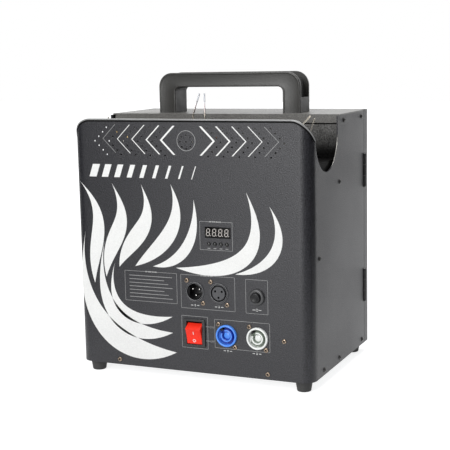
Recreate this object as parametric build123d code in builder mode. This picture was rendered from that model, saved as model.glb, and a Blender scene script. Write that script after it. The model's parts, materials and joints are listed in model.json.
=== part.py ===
from build123d import *
from math import cos, radians, sin
import os

# Stage flame machine: a floor-standing sheet-metal box that holds three upright
# gas cans behind a rear door and burns their gas at three nozzles in an open
# trough along the top of its front. Millimetres, +Z up, the front faces -Y.
# The origin is the middle of the overall box, on the floor.

# Driving dimensions of the case
CASE_W = 280
CASE_D = 198
CASE_H = 276
FOOT_H = 12
SHEET = 1.5
BEND = 14
SEAM = 15
CORNER = 22
FRONT_PROUD = 6.5
REAR_PROUD = 3
SCREW_PROUD = 1.2
HINGE_PROUD = 2.4
GAP = 0.3

# Where the case lies, so that the overall box is centred on the origin
CX = (SCREW_PROUD - HINGE_PROUD) / 2
FY = (FRONT_PROUD - REAR_PROUD - CASE_D) / 2
RY = FY + CASE_D
LX = CX - CASE_W / 2
RX = CX + CASE_W / 2
BZ = FOOT_H
TZ = BZ + CASE_H
IN_HALF = CASE_W / 2 - SHEET

# Depths behind the front face and heights above the bottom sheet
TRIM_H = 2
TRIM_D = 4
WALL_Y = FY + 96
LIP_Y = FY + 93
DOOR_Y = FY + 183
FLANGE = 10
TRAY_LIP = 14
TROUGH_Z = BZ + 226.5
TROUGH_TOP = BZ + 265
TROUGH_HALF = 136.5
LID_LIP_H = 8.2
LID_LIP_DROP = 5.4
SHELF_Z = BZ + 240
SHELF_T = 2
REAR_HALF = IN_HALF - 1.6

# Side cut-out that lets the slanted flames past
CUT_R = 36
CUT_Y = FY + 51
CUT_Z = BZ + 254

# Burner heads: side name, place across, tilt from upright
HEADS = (("left", -84, -45), ("centre", 0, 0), ("right", 84, 45))
HEAD_Y = FY + 46
HEAD_Z = BZ + 232
NOZZLE_FOOT = {"left": 14, "centre": 7, "right": 14}
NOZZLE_HEX = 9
NOZZLE_TAPER = 19
NOZZLE_LEN = 25
NOZZLE_R = 4.5
NOZZLE_TIP_R = 2.6
NOZZLE_BORE_R = 1
WIRE_D = 1.6
PLATE_T = 1.5

# Gas cans stand in a row behind the wall
CAN_X = (-84, 0, 84)
CAN_D = 66
CAN_Y = FY + 142
CRADLE_Z = BZ + 32
CRADLE_TRAVEL = 12
CRADLE_WALL = 2
CRADLE_RIM = 8
CRADLE_SLEEVE = 17
POST_D = 10
SPRING_R = 12
SPRING_TURNS = 5
SEAT_R = 13
SEAT_BORE_R = 9
SEAT_NECK_R = 6
SEAT_H = 10
PORT_Z = BZ + 253
VALVE_FRONT = FY + 130
COIL_FRONT = FY + 154
COIL_BACK = FY + 178
VALVE_W = 22
PLUNGER_R = 4.5
PLUNGER_IN_BODY = 5.9
PLUNGER_IN_COIL = 14
PLUNGER_STROKE = 4
PIPE_D = 4
PIPE_BEND = 7

# Carrying handle
HANDLE_W = 176
HANDLE_H = 46
HANDLE_D = 31.5
HANDLE_LEG = 21
HANDLE_BAR = 16.5
HANDLE_T = 3
HANDLE_Y = FY + 112
HANDLE_OUT_R = 16
HANDLE_IN_R = 6
CORE_INSET = 5
CORE_BLOCK_H = 17
FINGER_GROOVES = 30
GROOVE_PITCH = 4

# Rear door hinges
HINGE_X = RX + 0.4
HINGE_Y = DOOR_Y
HINGE_R = 2
HINGE_LEN = 38
HINGE_Z = (BZ + 51, BZ + 187)
PIN_R = 1
HINGE_ROOM = 1.2
RUN = 0.05

# Door lock
LOCK_X = CX - 116
LOCK_Z = BZ + 138
LOCK_R = 9
LOCK_RIM = 2.5
PLUG_R = 6
TONGUE_LEN = 30
TONGUE_W = 12

# Vent slots of the rear door
DOOR_VENT_X = (-62, 62)
DOOR_VENT_Z = (46, 206)
DOOR_VENT_LEN = 70
DOOR_VENT_W = 3.2
DOOR_VENT_PITCH = 8
DOOR_VENTS = 6

# Panel fittings: place across and height above the bottom sheet
PLUG_SOCKET = (6, 90)
DATA_SOCKET = (34.4, 90)
BREAKER = (78.2, 89)
ROCKER = (4.8, 44.4)
INLET = (42.6, 44.2)
OUTLET = (78.4, 44.2)
WINDOW = (34.5, 155.7)
WINDOW_W = 30
WINDOW_H = 12
BUTTON_Z = 143.3
BUTTON_STEP = 7
BUTTON_R = 2.2
BUTTON_PROUD = 1.5
ROCKER_W = 25.6
ROCKER_H = 30.8
ROCKER_HOLE_W = 21.6
ROCKER_HOLE_H = 27.6
ROCKER_TILT = 16
ROCKER_PIVOT = FY + 8.85
ROCKER_LEN = 18
BEZEL_PROUD = 2
BARREL_R = 12
BARREL_PROUD = 3
DATA_BARREL_R = 10.8
DATA_PROUD = 1.5
DATA_HOLLOW_R = 9.2
PIN_CIRCLE = 4.5
FLANGE_T = 2.5
GROOVE_OUT_R = 10
GROOVE_IN_R = 7
NUT_R = 9
NUT_PROUD = 3
RESET_R = 5.5
RESET_PROUD = FRONT_PROUD
FLANGE_W = 26
FLANGE_H = 31
FLANGE_HOLE_X = 19
FLANGE_HOLE_Z = 24

# Chevron rows of vent holes
VENT_R = 1
VENT_Z = 251.6
VENT_TIP = 40.2
VENT_PITCH = 17.85
VENT_STEP = 4.95
VENT_ROWS = 5
VENT_RING_R = 7.3
VENT_RING = 8

# Screws, as (place, height) on each face
SCREW_R = 1.5
SCREW_HEAD_R = 3
SCREW_LEN = 4.5
FOOT_SCREW_R = 2
FOOT_SCREW_HEAD = (3.5, 2.5)
FOOT_SCREW_Z = 8
HANDLE_SCREW_R = 2.5
HANDLE_SCREW_HEAD = (4.5, 3)
HANDLE_SCREW_LEN = 12
FRONT_SCREWS = ((-89.5, 6), (89.5, 6), (108.5, 43.6))
SIDE_SCREWS = (
    (37, 6), (89, 6), (173, 6), (24, 129.5), (92, 203), (108, 269), (172, 269),
)
FOOT_X = 125
FOOT_Y = (FY + 14.5, RY - 16)
FOOT_TOP_R = 9.5
FOOT_LOW_R = 7.5
HANDLE_SCREWS = [
    (CX + side * (HANDLE_W - HANDLE_LEG) / 2, HANDLE_Y + HANDLE_D / 2) for side in (-1, 1)
]

# Boxes of the electronics, as (place across, middle height, width, height, depth)
SUPPLY = (8, 70, 129, 97, 30)
BOARD = (8, 170, 104, 84, 1.6)
IGNITERS_X = -102
IGNITERS_Z = (40, 100, 160)
IGNITER = (38, 50, 26)
BOARD_GAP = 8

nodes = []


def keep(part, label):
    """Label a finished piece and hold it for writing."""
    part.label = label
    nodes.append(part)


def facing_front(y):
    """Sketch plane at depth y: sketch x and y are X and Z, and it faces the front."""
    return Plane.XZ.offset(-y)


def across(x):
    """Sketch plane at place x: sketch x and y are Y and Z, and it faces right."""
    return Plane.YZ.offset(x)


def wrap_section(outer, inner):
    """Plan section of the cover, flat with two bent sides, between two depths."""
    middle = (outer + inner) / 2
    with BuildLine() as path:
        FilletPolyline(
            (LX + middle, FY + SEAM),
            (LX + middle, FY + middle),
            (RX - middle, FY + middle),
            (RX - middle, FY + SEAM),
            radius=BEND - middle,
        )
    trace(path.line, line_width=inner - outer)


def cover_outline(inset):
    """Front view of the cover, its top corners rounded and its top edge set in."""
    with Locations((CX, BZ + (CASE_H - CORNER) / 2)):
        Rectangle(CASE_W, CASE_H - CORNER)
    with Locations((CX, TZ - inset - 2 * CORNER)):
        RectangleRounded(CASE_W - 2 * inset, 4 * CORNER, CORNER - inset)


def vent_places():
    """Centres of the vent holes: five chevrons a side and a ring in the middle."""
    places = [(0, VENT_Z)]
    for step in range(VENT_RING):
        turn = radians(360 / VENT_RING * step)
        places.append((VENT_RING_R * cos(turn), VENT_Z + VENT_RING_R * sin(turn)))
    for side in (-1, 1):
        for row in range(VENT_ROWS):
            tip = VENT_TIP + VENT_PITCH * row
            places.append((side * tip, VENT_Z))
            for step in range(1, 4):
                for rise in (-1, 1):
                    drop = rise * VENT_STEP * step
                    places.append((side * (tip - VENT_STEP * step), VENT_Z + drop))
    return [(CX + x, BZ + z) for x, z in places]


def on_panel(place):
    """A front panel place in the model's own X and Z."""
    return (CX + place[0], BZ + place[1])


def flange_screws(place, first):
    """The two screw places of a socket flange, on one diagonal or the other."""
    x, z = place
    half_x = FLANGE_HOLE_X / 2
    half_z = FLANGE_HOLE_Z / 2
    return ((x - half_x * first, z + half_z), (x + half_x * first, z - half_z))


def head_frame(side, x, tilt):
    """Plane across a burner head's axis where its foot sits: x outward, z along it."""
    foot = NOZZLE_FOOT[side]
    lean = radians(tilt)
    centre = (CX + x + foot * sin(lean), HEAD_Y, HEAD_Z + foot * cos(lean))
    return Plane(centre, x_dir=(cos(lean), 0, -sin(lean)), z_dir=(sin(lean), 0, cos(lean)))


SOCKET_SCREWS = (
    flange_screws(PLUG_SOCKET, 1)
    + flange_screws(DATA_SOCKET, 1)
    + flange_screws(INLET, 1)
    + flange_screws(OUTLET, 1)
)

# Shanks of all the screws, a little oversize, taken out of every sheet they pass
with BuildPart() as screw_ways:
    with BuildSketch(facing_front(FY - 1)):
        with Locations([on_panel(place) for place in FRONT_SCREWS + SOCKET_SCREWS]):
            Circle(SCREW_R + RUN)
    extrude(amount=-SCREW_LEN - 2)
    with BuildSketch(across(LX - 1)):
        with Locations([(FY + y, BZ + z) for y, z in SIDE_SCREWS]):
            Circle(SCREW_R + RUN)
    extrude(amount=SCREW_LEN + 2)
    with BuildSketch(across(RX + 1)):
        with Locations([(FY + y, BZ + z) for y, z in SIDE_SCREWS]):
            Circle(SCREW_R + RUN)
    extrude(amount=-SCREW_LEN - 2)
    with BuildSketch(Plane.XY.offset(BZ - 1)):
        for y in FOOT_Y:
            with Locations((CX - FOOT_X, y), (CX + FOOT_X, y)):
                Circle(FOOT_SCREW_R + RUN)
    extrude(amount=6)
    with BuildSketch(Plane.XY.offset(TZ - 4)):
        with Locations(*HANDLE_SCREWS):
            Circle(HANDLE_SCREW_R + RUN)
    extrude(amount=HANDLE_SCREW_LEN + 4)

# Notches in the seam that leave room for the hinge barrels
with BuildPart() as hinge_notches:
    for z in HINGE_Z:
        with BuildSketch(Plane.XY.offset(z - HINGE_ROOM)):
            with Locations((HINGE_X, HINGE_Y)):
                Rectangle(9, 6)
        extrude(amount=HINGE_LEN + 2 * HINGE_ROOM)

# Front cover: one sheet bent round both front corners, pierced for its fittings
with BuildPart() as front_cover:
    with BuildSketch(Plane.XY.offset(BZ)):
        wrap_section(0, SHEET)
    extrude(amount=CASE_H)
    with BuildSketch(facing_front(FY + SEAM + 1)):
        cover_outline(TRIM_H)
    extrude(amount=SEAM + 2, mode=Mode.INTERSECT)
    with BuildSketch(facing_front(FY - 1)):
        with Locations(vent_places()):
            Circle(VENT_R)
        with Locations(*[on_panel(place) for place in (PLUG_SOCKET, DATA_SOCKET)]):
            Circle(DATA_BARREL_R + 0.1)
        with Locations(*[on_panel(place) for place in (INLET, OUTLET)]):
            Circle(BARREL_R + 0.1)
        with Locations(on_panel(BREAKER)):
            Circle(RESET_R + 0.5)
        with Locations(on_panel(ROCKER)):
            Rectangle(ROCKER_HOLE_W, ROCKER_HOLE_H)
        with Locations(on_panel(WINDOW)):
            Rectangle(WINDOW_W, WINDOW_H)
        for step in range(4):
            with Locations(on_panel((WINDOW[0] + BUTTON_STEP * (step - 1.5), BUTTON_Z))):
                Circle(BUTTON_R + 0.1)
    extrude(amount=-SHEET - 2, mode=Mode.SUBTRACT)
    add(screw_ways.part, mode=Mode.SUBTRACT)
keep(front_cover.part, "front_cover")

# Edge trim: the bead that runs over the cover's top edge from seam to seam
with BuildPart() as cover_edge_trim:
    with BuildSketch(Plane.XY.offset(BZ)):
        wrap_section(0, TRIM_D)
    extrude(amount=CASE_H)
    with BuildSketch(facing_front(FY + SEAM + 1)):
        cover_outline(0)
    extrude(amount=SEAM + 2, mode=Mode.INTERSECT)
    with BuildSketch(facing_front(FY + SEAM + 1)):
        cover_outline(TRIM_H)
    extrude(amount=SEAM + 2, mode=Mode.SUBTRACT)
keep(cover_edge_trim.part, "cover_edge_trim")

# Side panels: flat webs with inturned flanges and the round flame cut-out
for side, name in ((-1, "left_side_panel"), (1, "right_side_panel")):
    outer = CX + side * CASE_W / 2
    inner = CX + side * IN_HALF
    with BuildPart() as side_panel:
        with BuildSketch(across(min(outer, inner))):
            with Locations(((FY + SEAM + GAP + DOOR_Y - GAP) / 2, (BZ + TZ - SHEET) / 2)):
                Rectangle(DOOR_Y - FY - SEAM - 2 * GAP, CASE_H - SHEET)
            with Locations((CUT_Y, CUT_Z)):
                Circle(CUT_R, mode=Mode.SUBTRACT)
            with Locations((CUT_Y, CUT_Z + CUT_R)):
                Rectangle(2 * CUT_R, 2 * CUT_R, mode=Mode.SUBTRACT)
        extrude(amount=SHEET)
        with BuildSketch(Plane.XY.offset(BZ + TRAY_LIP + 2)):
            for y in (FY + SEAM + GAP + SHEET / 2, DOOR_Y - GAP - SHEET / 2):
                with Locations((inner - side * FLANGE / 2, y)):
                    Rectangle(FLANGE, SHEET)
        extrude(amount=TROUGH_Z - BZ - TRAY_LIP - 6)
        if side == 1:
            add(hinge_notches.part, mode=Mode.SUBTRACT)
        add(screw_ways.part, mode=Mode.SUBTRACT)
    keep(side_panel.part, name)

# Base tray: floor sheet with upturned lips and the posts that guide the cradles
with BuildPart() as base_tray:
    with BuildSketch(Plane.XY.offset(BZ)) as tray_floor:
        with Locations((CX, (FY + SHEET + DOOR_Y - 2) / 2)):
            Rectangle(2 * IN_HALF, DOOR_Y - 2 - FY - SHEET)
        fillet(tray_floor.vertices().group_by(Axis.Y)[0], BEND - SHEET)
        with Locations((CX, (DOOR_Y - 2 + RY - SHEET - 0.5) / 2)):
            Rectangle(2 * REAR_HALF, RY - SHEET - 0.5 - DOOR_Y + 2)
    extrude(amount=SHEET)
    with BuildSketch(Plane.XY.offset(BZ + SHEET)):
        with Locations((CX, FY + 1.5 * SHEET)):
            Rectangle(2 * (IN_HALF - SEAM), SHEET)
        for side in (-1, 1):
            with Locations((CX + side * (IN_HALF - SHEET / 2), (FY + SEAM + DOOR_Y) / 2)):
                Rectangle(SHEET, DOOR_Y - FY - SEAM - 8)
    extrude(amount=TRAY_LIP - SHEET)
    with BuildSketch(Plane.XY.offset(BZ + SHEET)):
        for x in CAN_X:
            with Locations((CX + x, CAN_Y)):
                Circle(POST_D / 2)
    extrude(amount=CRADLE_Z - BZ - CRADLE_TRAVEL - SHEET - 1)
    add(screw_ways.part, mode=Mode.SUBTRACT)
keep(base_tray.part, "base_tray")

# Top cover: the lid over the cans, with a folded lip in front and side flanges
with BuildPart() as top_cover:
    with BuildSketch(Plane.XY.offset(TZ - SHEET)):
        with Locations((CX, (LIP_Y + DOOR_Y - GAP) / 2)):
            Rectangle(CASE_W, DOOR_Y - GAP - LIP_Y)
        with Locations((CX, (DOOR_Y - GAP + RY - SHEET - 0.5) / 2)):
            Rectangle(2 * REAR_HALF, RY - SHEET - 0.5 - DOOR_Y + GAP)
    extrude(amount=SHEET)
    with BuildSketch(facing_front(LIP_Y + SHEET)):
        with Locations((CX, TZ - LID_LIP_DROP)):
            RectangleRounded(2 * (TROUGH_HALF + 0.5), LID_LIP_H, 2)
    extrude(amount=SHEET)
    with BuildSketch(Plane.XY.offset(TZ - TRAY_LIP)):
        for side in (-1, 1):
            with Locations((CX + side * (IN_HALF - SHEET / 2), (WALL_Y + DOOR_Y) / 2)):
                Rectangle(SHEET, DOOR_Y - WALL_Y - 6)
    extrude(amount=TRAY_LIP - SHEET)
    add(screw_ways.part, mode=Mode.SUBTRACT)
keep(top_cover.part, "top_cover")

# Burner trough: the open channel the three heads stand in
with BuildPart() as burner_trough:
    with BuildSketch(Plane.XY.offset(TROUGH_Z)):
        with BuildLine():
            Polyline(
                (CX - TROUGH_HALF, FY + SEAM + 3),
                (CX - TROUGH_HALF + SEAM, FY + 2),
                (CX + TROUGH_HALF - SEAM, FY + 2),
                (CX + TROUGH_HALF, FY + SEAM + 3),
                (CX + TROUGH_HALF, WALL_Y + SHEET),
                (CX - TROUGH_HALF, WALL_Y + SHEET),
                close=True,
            )
        make_face()
    extrude(amount=SHEET)
    with BuildSketch(Plane.XY.offset(TROUGH_Z + SHEET)):
        with Locations((CX, WALL_Y + SHEET / 2)):
            Rectangle(2 * TROUGH_HALF, SHEET)
    extrude(amount=TROUGH_TOP - TROUGH_Z - SHEET)
    with BuildSketch(Plane.XY.offset(TROUGH_Z + SHEET)):
        with Locations((CX, FY + 2 + SHEET / 2)):
            Rectangle(2 * (TROUGH_HALF - SEAM), SHEET)
    extrude(amount=8)
    with BuildSketch(Plane.XY.offset(TROUGH_Z - FLANGE)):
        for side in (-1, 1):
            with Locations((CX + side * (TROUGH_HALF - SHEET / 2), FY + 57)):
                Rectangle(SHEET, 70)
    extrude(amount=FLANGE)
    with BuildSketch(facing_front(WALL_Y - 1)):
        for x in CAN_X:
            with Locations((CX + x, PORT_Z)):
                Circle(PIPE_D / 2 + 0.5)
    extrude(amount=-SHEET - 2, mode=Mode.SUBTRACT)
keep(burner_trough.part, "burner_trough")

# Partition between the electronics in front and the cans behind
with BuildPart() as can_partition:
    with BuildSketch(facing_front(WALL_Y + SHEET)):
        with Locations((CX, (BZ + SHEET + TROUGH_Z) / 2)):
            Rectangle(2 * TROUGH_HALF, TROUGH_Z - BZ - SHEET)
    extrude(amount=SHEET)
    with BuildSketch(Plane.XY.offset(BZ + SHEET)):
        with Locations((CX, WALL_Y - FLANGE / 2)):
            Rectangle(2 * TROUGH_HALF - 20, FLANGE)
    extrude(amount=SHEET)
keep(can_partition.part, "can_partition")

# Valve shelf: carries the can seats below it and the solenoid valves on top
with BuildPart() as valve_shelf:
    with BuildSketch(Plane.XY.offset(SHELF_Z)):
        with Locations((CX, (WALL_Y + SHEET + FY + 180) / 2)):
            Rectangle(2 * (TROUGH_HALF - 0.5), FY + 180 - WALL_Y - SHEET)
        for x in CAN_X:
            with Locations((CX + x, CAN_Y)):
                Circle(SEAT_NECK_R, mode=Mode.SUBTRACT)
    extrude(amount=SHELF_T)
    with BuildSketch(Plane.XY.offset(SHELF_Z + SHELF_T)):
        with Locations((CX, FY + 180 - SHEET / 2)):
            Rectangle(2 * (TROUGH_HALF - 0.5), SHEET)
    extrude(amount=6)
keep(valve_shelf.part, "valve_shelf")

# Handle plates: two arches, front and back, that bolt to the core between them
GRIP_SIZE = (HANDLE_W - 2 * HANDLE_LEG, 2 * (HANDLE_H - HANDLE_BAR))
for name, y in (
    ("handle_front_plate", HANDLE_Y + HANDLE_T),
    ("handle_back_plate", HANDLE_Y + HANDLE_D),
):
    with BuildPart() as handle_plate:
        with BuildSketch(facing_front(y)):
            with Locations((CX, TZ)):
                RectangleRounded(HANDLE_W, 2 * HANDLE_H, HANDLE_OUT_R)
                RectangleRounded(*GRIP_SIZE, HANDLE_IN_R, mode=Mode.SUBTRACT)
            with Locations((CX, TZ - HANDLE_H)):
                Rectangle(HANDLE_W + 2, 2 * HANDLE_H, mode=Mode.SUBTRACT)
        extrude(amount=HANDLE_T)
    keep(handle_plate.part, name)

# Handle core: ribbed inside for the fingers, with a channel round the outside
with BuildPart() as handle_core:
    with BuildSketch(facing_front(HANDLE_Y + HANDLE_D - HANDLE_T)):
        with Locations((CX, TZ)):
            RectangleRounded(
                HANDLE_W - 2 * CORE_INSET, 2 * (HANDLE_H - CORE_INSET), HANDLE_OUT_R - 4
            )
            RectangleRounded(*GRIP_SIZE, HANDLE_IN_R, mode=Mode.SUBTRACT)
        with Locations((CX, TZ - HANDLE_H)):
            Rectangle(HANDLE_W + 2, 2 * HANDLE_H, mode=Mode.SUBTRACT)
        for side in (-1, 1):
            with Locations((CX + side * (HANDLE_W - HANDLE_LEG) / 2, TZ + CORE_BLOCK_H / 2)):
                Rectangle(HANDLE_LEG, CORE_BLOCK_H)
        with Locations((CX, TZ + HANDLE_H - HANDLE_BAR)):
            with GridLocations(GROOVE_PITCH, 1, FINGER_GROOVES, 1):
                Rectangle(GROOVE_PITCH / 2, 2.4, mode=Mode.SUBTRACT)
    extrude(amount=HANDLE_D - 2 * HANDLE_T)
    add(screw_ways.part, mode=Mode.SUBTRACT)
keep(handle_core.part, "handle_core")

# Rubber feet: four tapered pads, each counterbored for its screw
with BuildPart() as rubber_feet:
    for y in FOOT_Y:
        for x in (CX - FOOT_X, CX + FOOT_X):
            with BuildSketch(Plane((x, y, 0))):
                Circle(FOOT_LOW_R)
            with BuildSketch(Plane((x, y, FOOT_H))):
                Circle(FOOT_TOP_R)
            loft()
            with BuildSketch(Plane((x, y, 0))):
                Circle(FOOT_SCREW_HEAD[0] + 0.5)
            extrude(amount=FOOT_SCREW_Z, mode=Mode.SUBTRACT)
            with BuildSketch(Plane((x, y, 0))):
                Circle(FOOT_SCREW_R + RUN)
            extrude(amount=FOOT_H, mode=Mode.SUBTRACT)
keep(rubber_feet.part, "rubber_feet")

# Case screws: pan heads on the front and sides, up inside the feet, and from under
# the lid into the handle's legs
with BuildPart() as case_screws:
    with BuildSketch(facing_front(FY)):
        with Locations([on_panel(place) for place in FRONT_SCREWS + SOCKET_SCREWS]):
            Circle(SCREW_HEAD_R - 0.4)
    extrude(amount=SCREW_PROUD)
    with BuildSketch(facing_front(FY)):
        with Locations([on_panel(place) for place in FRONT_SCREWS + SOCKET_SCREWS]):
            Circle(SCREW_R)
    extrude(amount=-SCREW_LEN)
    for side, x in ((-1, LX), (1, RX)):
        with BuildSketch(across(x)):
            with Locations([(FY + y, BZ + z) for y, z in SIDE_SCREWS]):
                Circle(SCREW_HEAD_R - 0.4)
        extrude(amount=side * SCREW_PROUD)
        with BuildSketch(across(x)):
            with Locations([(FY + y, BZ + z) for y, z in SIDE_SCREWS]):
                Circle(SCREW_R)
        extrude(amount=-side * SCREW_LEN)
    for y in FOOT_Y:
        for x in (CX - FOOT_X, CX + FOOT_X):
            with BuildSketch(Plane((x, y, FOOT_SCREW_Z - FOOT_SCREW_HEAD[1]))):
                Circle(FOOT_SCREW_HEAD[0])
            extrude(amount=FOOT_SCREW_HEAD[1])
            with BuildSketch(Plane((x, y, FOOT_SCREW_Z))):
                Circle(FOOT_SCREW_R)
            extrude(amount=8)
    for x, y in HANDLE_SCREWS:
        with BuildSketch(Plane((x, y, TZ - SHEET - HANDLE_SCREW_HEAD[1]))):
            Circle(HANDLE_SCREW_HEAD[0])
        extrude(amount=HANDLE_SCREW_HEAD[1])
        with BuildSketch(Plane((x, y, TZ - SHEET))):
            Circle(HANDLE_SCREW_R)
        extrude(amount=HANDLE_SCREW_LEN)
keep(case_screws.part, "case_screws")


def hinge_leaf(z, low, high, away):
    """Knuckles and plate of one hinge leaf; away is -1 for the case, 1 for the door."""
    plate_x = RX - SHEET - 0.7
    with BuildSketch(Plane.XY.offset(z)) as plate:
        with Locations((plate_x, HINGE_Y + away * 6.5)):
            Rectangle(1.3, 9.4)
    extrude(plate.sketch, amount=HINGE_LEN)
    for start, stop in zip(low, high):
        with BuildSketch(Plane.XY.offset(z + start)) as knuckle:
            with Locations((HINGE_X, HINGE_Y)):
                Circle(HINGE_R)
            with BuildLine():
                Polyline(
                    (plate_x - 0.65, HINGE_Y + away * 4),
                    (plate_x + 0.65, HINGE_Y + away * 4),
                    (plate_x + 0.65, HINGE_Y + away * 2.1),
                    (HINGE_X, HINGE_Y + away * HINGE_R),
                    (HINGE_X, HINGE_Y),
                    (plate_x + 0.8, HINGE_Y),
                    (plate_x - 0.65, HINGE_Y + away * 1.2),
                    close=True,
                )
            make_face()
            with Locations((HINGE_X, HINGE_Y)):
                Circle(PIN_R + RUN, mode=Mode.SUBTRACT)
        extrude(knuckle.sketch, amount=stop - start)


# Hinge leaves: two butt hinges whose barrels show at the rear right edge
with BuildPart() as hinge_fixed_leaves:
    for z in HINGE_Z:
        hinge_leaf(z, (0, 25.6), (12.4, HINGE_LEN), -1)
keep(hinge_fixed_leaves.part, "hinge_fixed_leaves")

with BuildPart() as hinge_door_leaves:
    for z in HINGE_Z:
        hinge_leaf(z, (12.7,), (25.3,), 1)
keep(hinge_door_leaves.part, "hinge_door_leaves")

with BuildPart() as hinge_pins:
    for z in HINGE_Z:
        with BuildSketch(Plane((HINGE_X, HINGE_Y, z))):
            Circle(PIN_R)
        extrude(amount=HINGE_LEN)
        with BuildSketch(Plane((HINGE_X, HINGE_Y, z + HINGE_LEN))):
            Circle(HINGE_R - 0.3)
        extrude(amount=0.8)
keep(hinge_pins.part, "hinge_pins")

# Rear door: a pan with side flanges, vent slots and the hole for its lock
with BuildPart() as rear_door:
    with BuildSketch(Plane.XY.offset(BZ)):
        with BuildLine():
            FilletPolyline(
                (LX + SHEET / 2, DOOR_Y + GAP),
                (LX + SHEET / 2, RY - SHEET / 2),
                (RX - SHEET / 2, RY - SHEET / 2),
                (RX - SHEET / 2, DOOR_Y + GAP),
                radius=2.2,
            )
        trace(line_width=SHEET)
    extrude(amount=CASE_H)
    with BuildSketch(facing_front(RY + 1)):
        for x in DOOR_VENT_X:
            for z in DOOR_VENT_Z:
                with Locations((CX + x, BZ + z)):
                    with GridLocations(1, DOOR_VENT_PITCH, 1, DOOR_VENTS):
                        SlotOverall(DOOR_VENT_LEN, DOOR_VENT_W)
        with Locations((LOCK_X, LOCK_Z)):
            Circle(LOCK_R + RUN)
    extrude(amount=SHEET + 2, mode=Mode.SUBTRACT)
    add(hinge_notches.part, mode=Mode.SUBTRACT)
keep(rear_door.part, "rear_door")

# Lock barrel: a flanged tube through the door
with BuildPart() as lock_barrel:
    with BuildSketch(facing_front(RY)):
        with Locations((LOCK_X, LOCK_Z)):
            Circle(LOCK_R + LOCK_RIM)
            Circle(PLUG_R + RUN, mode=Mode.SUBTRACT)
    extrude(amount=-REAR_PROUD + 1)
    with BuildSketch(facing_front(RY)):
        with Locations((LOCK_X, LOCK_Z)):
            Circle(LOCK_R)
            Circle(PLUG_R + RUN, mode=Mode.SUBTRACT)
    extrude(amount=RY - DOOR_Y + 2)
keep(lock_barrel.part, "lock_barrel")

# Lock cam: the keyed plug in the barrel with its tongue on the inner end
with BuildPart() as lock_cam:
    with BuildSketch(facing_front(RY + REAR_PROUD)):
        with Locations((LOCK_X, LOCK_Z)):
            Circle(PLUG_R)
    extrude(amount=RY + REAR_PROUD - DOOR_Y + 2.2)
    with BuildSketch(facing_front(RY + REAR_PROUD)):
        with Locations((LOCK_X, LOCK_Z)):
            Rectangle(1.6, 8)
    extrude(amount=4, mode=Mode.SUBTRACT)
    with BuildSketch(facing_front(DOOR_Y - 2.2)):
        with Locations((LOCK_X, LOCK_Z - 6)):
            SlotOverall(TONGUE_LEN, TONGUE_W, rotation=90)
    extrude(amount=2)
keep(lock_cam.part, "lock_cam")

# Burner heads: nozzle, its pair of igniter wires and their ceramic sleeves. A leaning
# wire is its foot's two places, the height of its bend, and its tip's place and height;
# a straight one is its foot's two places and its tip's height.
LEAN_WIRE = {
    "left": (-10, 0, 27, 5, 41.5),
    "centre": (-13, 0, 38, -4.5, 62),
    "right": (10, 0, 29, 1.5, 47),
}
PLAIN_WIRE = {"left": (2, -9, 38), "centre": (6, -10, 62.5), "right": (-2, -9, 48.5)}
WIRE_FOOT = 1
WIRE_BEND = 5
SLEEVE_R = 2.6
SLEEVE_LEN = 17

for side, x, tilt in HEADS:
    frame = head_frame(side, x, tilt)
    with BuildPart() as nozzle:
        with BuildSketch(frame):
            RegularPolygon(7, 6)
        extrude(amount=NOZZLE_HEX)
        with BuildSketch(frame.offset(NOZZLE_HEX)):
            Circle(NOZZLE_R)
        extrude(amount=NOZZLE_TAPER - NOZZLE_HEX)
        with BuildSketch(frame.offset(NOZZLE_TAPER)):
            Circle(NOZZLE_R)
        with BuildSketch(frame.offset(NOZZLE_LEN)):
            Circle(NOZZLE_TIP_R)
        loft()
        with BuildSketch(frame.offset(NOZZLE_LEN)):
            Circle(NOZZLE_BORE_R)
        extrude(amount=NOZZLE_HEX - NOZZLE_LEN, mode=Mode.SUBTRACT)
    keep(nozzle.part, f"{side}_nozzle")

    u, v, bend, tip_u, tip_w = LEAN_WIRE[side]
    with BuildPart() as electrodes:
        with BuildLine():
            FilletPolyline(
                frame.from_local_coords((u, v, WIRE_FOOT)),
                frame.from_local_coords((u, v, bend)),
                frame.from_local_coords((tip_u, v, tip_w)),
                radius=WIRE_BEND,
            )
        with BuildSketch(Plane(frame.from_local_coords((u, v, WIRE_FOOT)), z_dir=frame.z_dir)):
            Circle(WIRE_D / 2)
        sweep()
    with BuildPart() as straight_wire:
        u, v, tip_w = PLAIN_WIRE[side]
        with BuildSketch(Plane(frame.from_local_coords((u, v, WIRE_FOOT)), z_dir=frame.z_dir)):
            Circle(WIRE_D / 2)
        extrude(amount=tip_w - WIRE_FOOT)
    pair = Compound(children=[electrodes.part.solid(), straight_wire.part.solid()])
    keep(pair, f"{side}_electrodes")

with BuildPart() as electrode_sleeves:
    for side, x, tilt in HEADS:
        frame = head_frame(side, x, tilt)
        with BuildSketch(frame):
            for u, v in (LEAN_WIRE[side][:2], PLAIN_WIRE[side][:2]):
                with Locations((u, v)):
                    Circle(SLEEVE_R)
                    Circle(WIRE_D / 2 + RUN, mode=Mode.SUBTRACT)
        extrude(amount=SLEEVE_LEN)
keep(electrode_sleeves.part, "electrode_sleeves")

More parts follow.
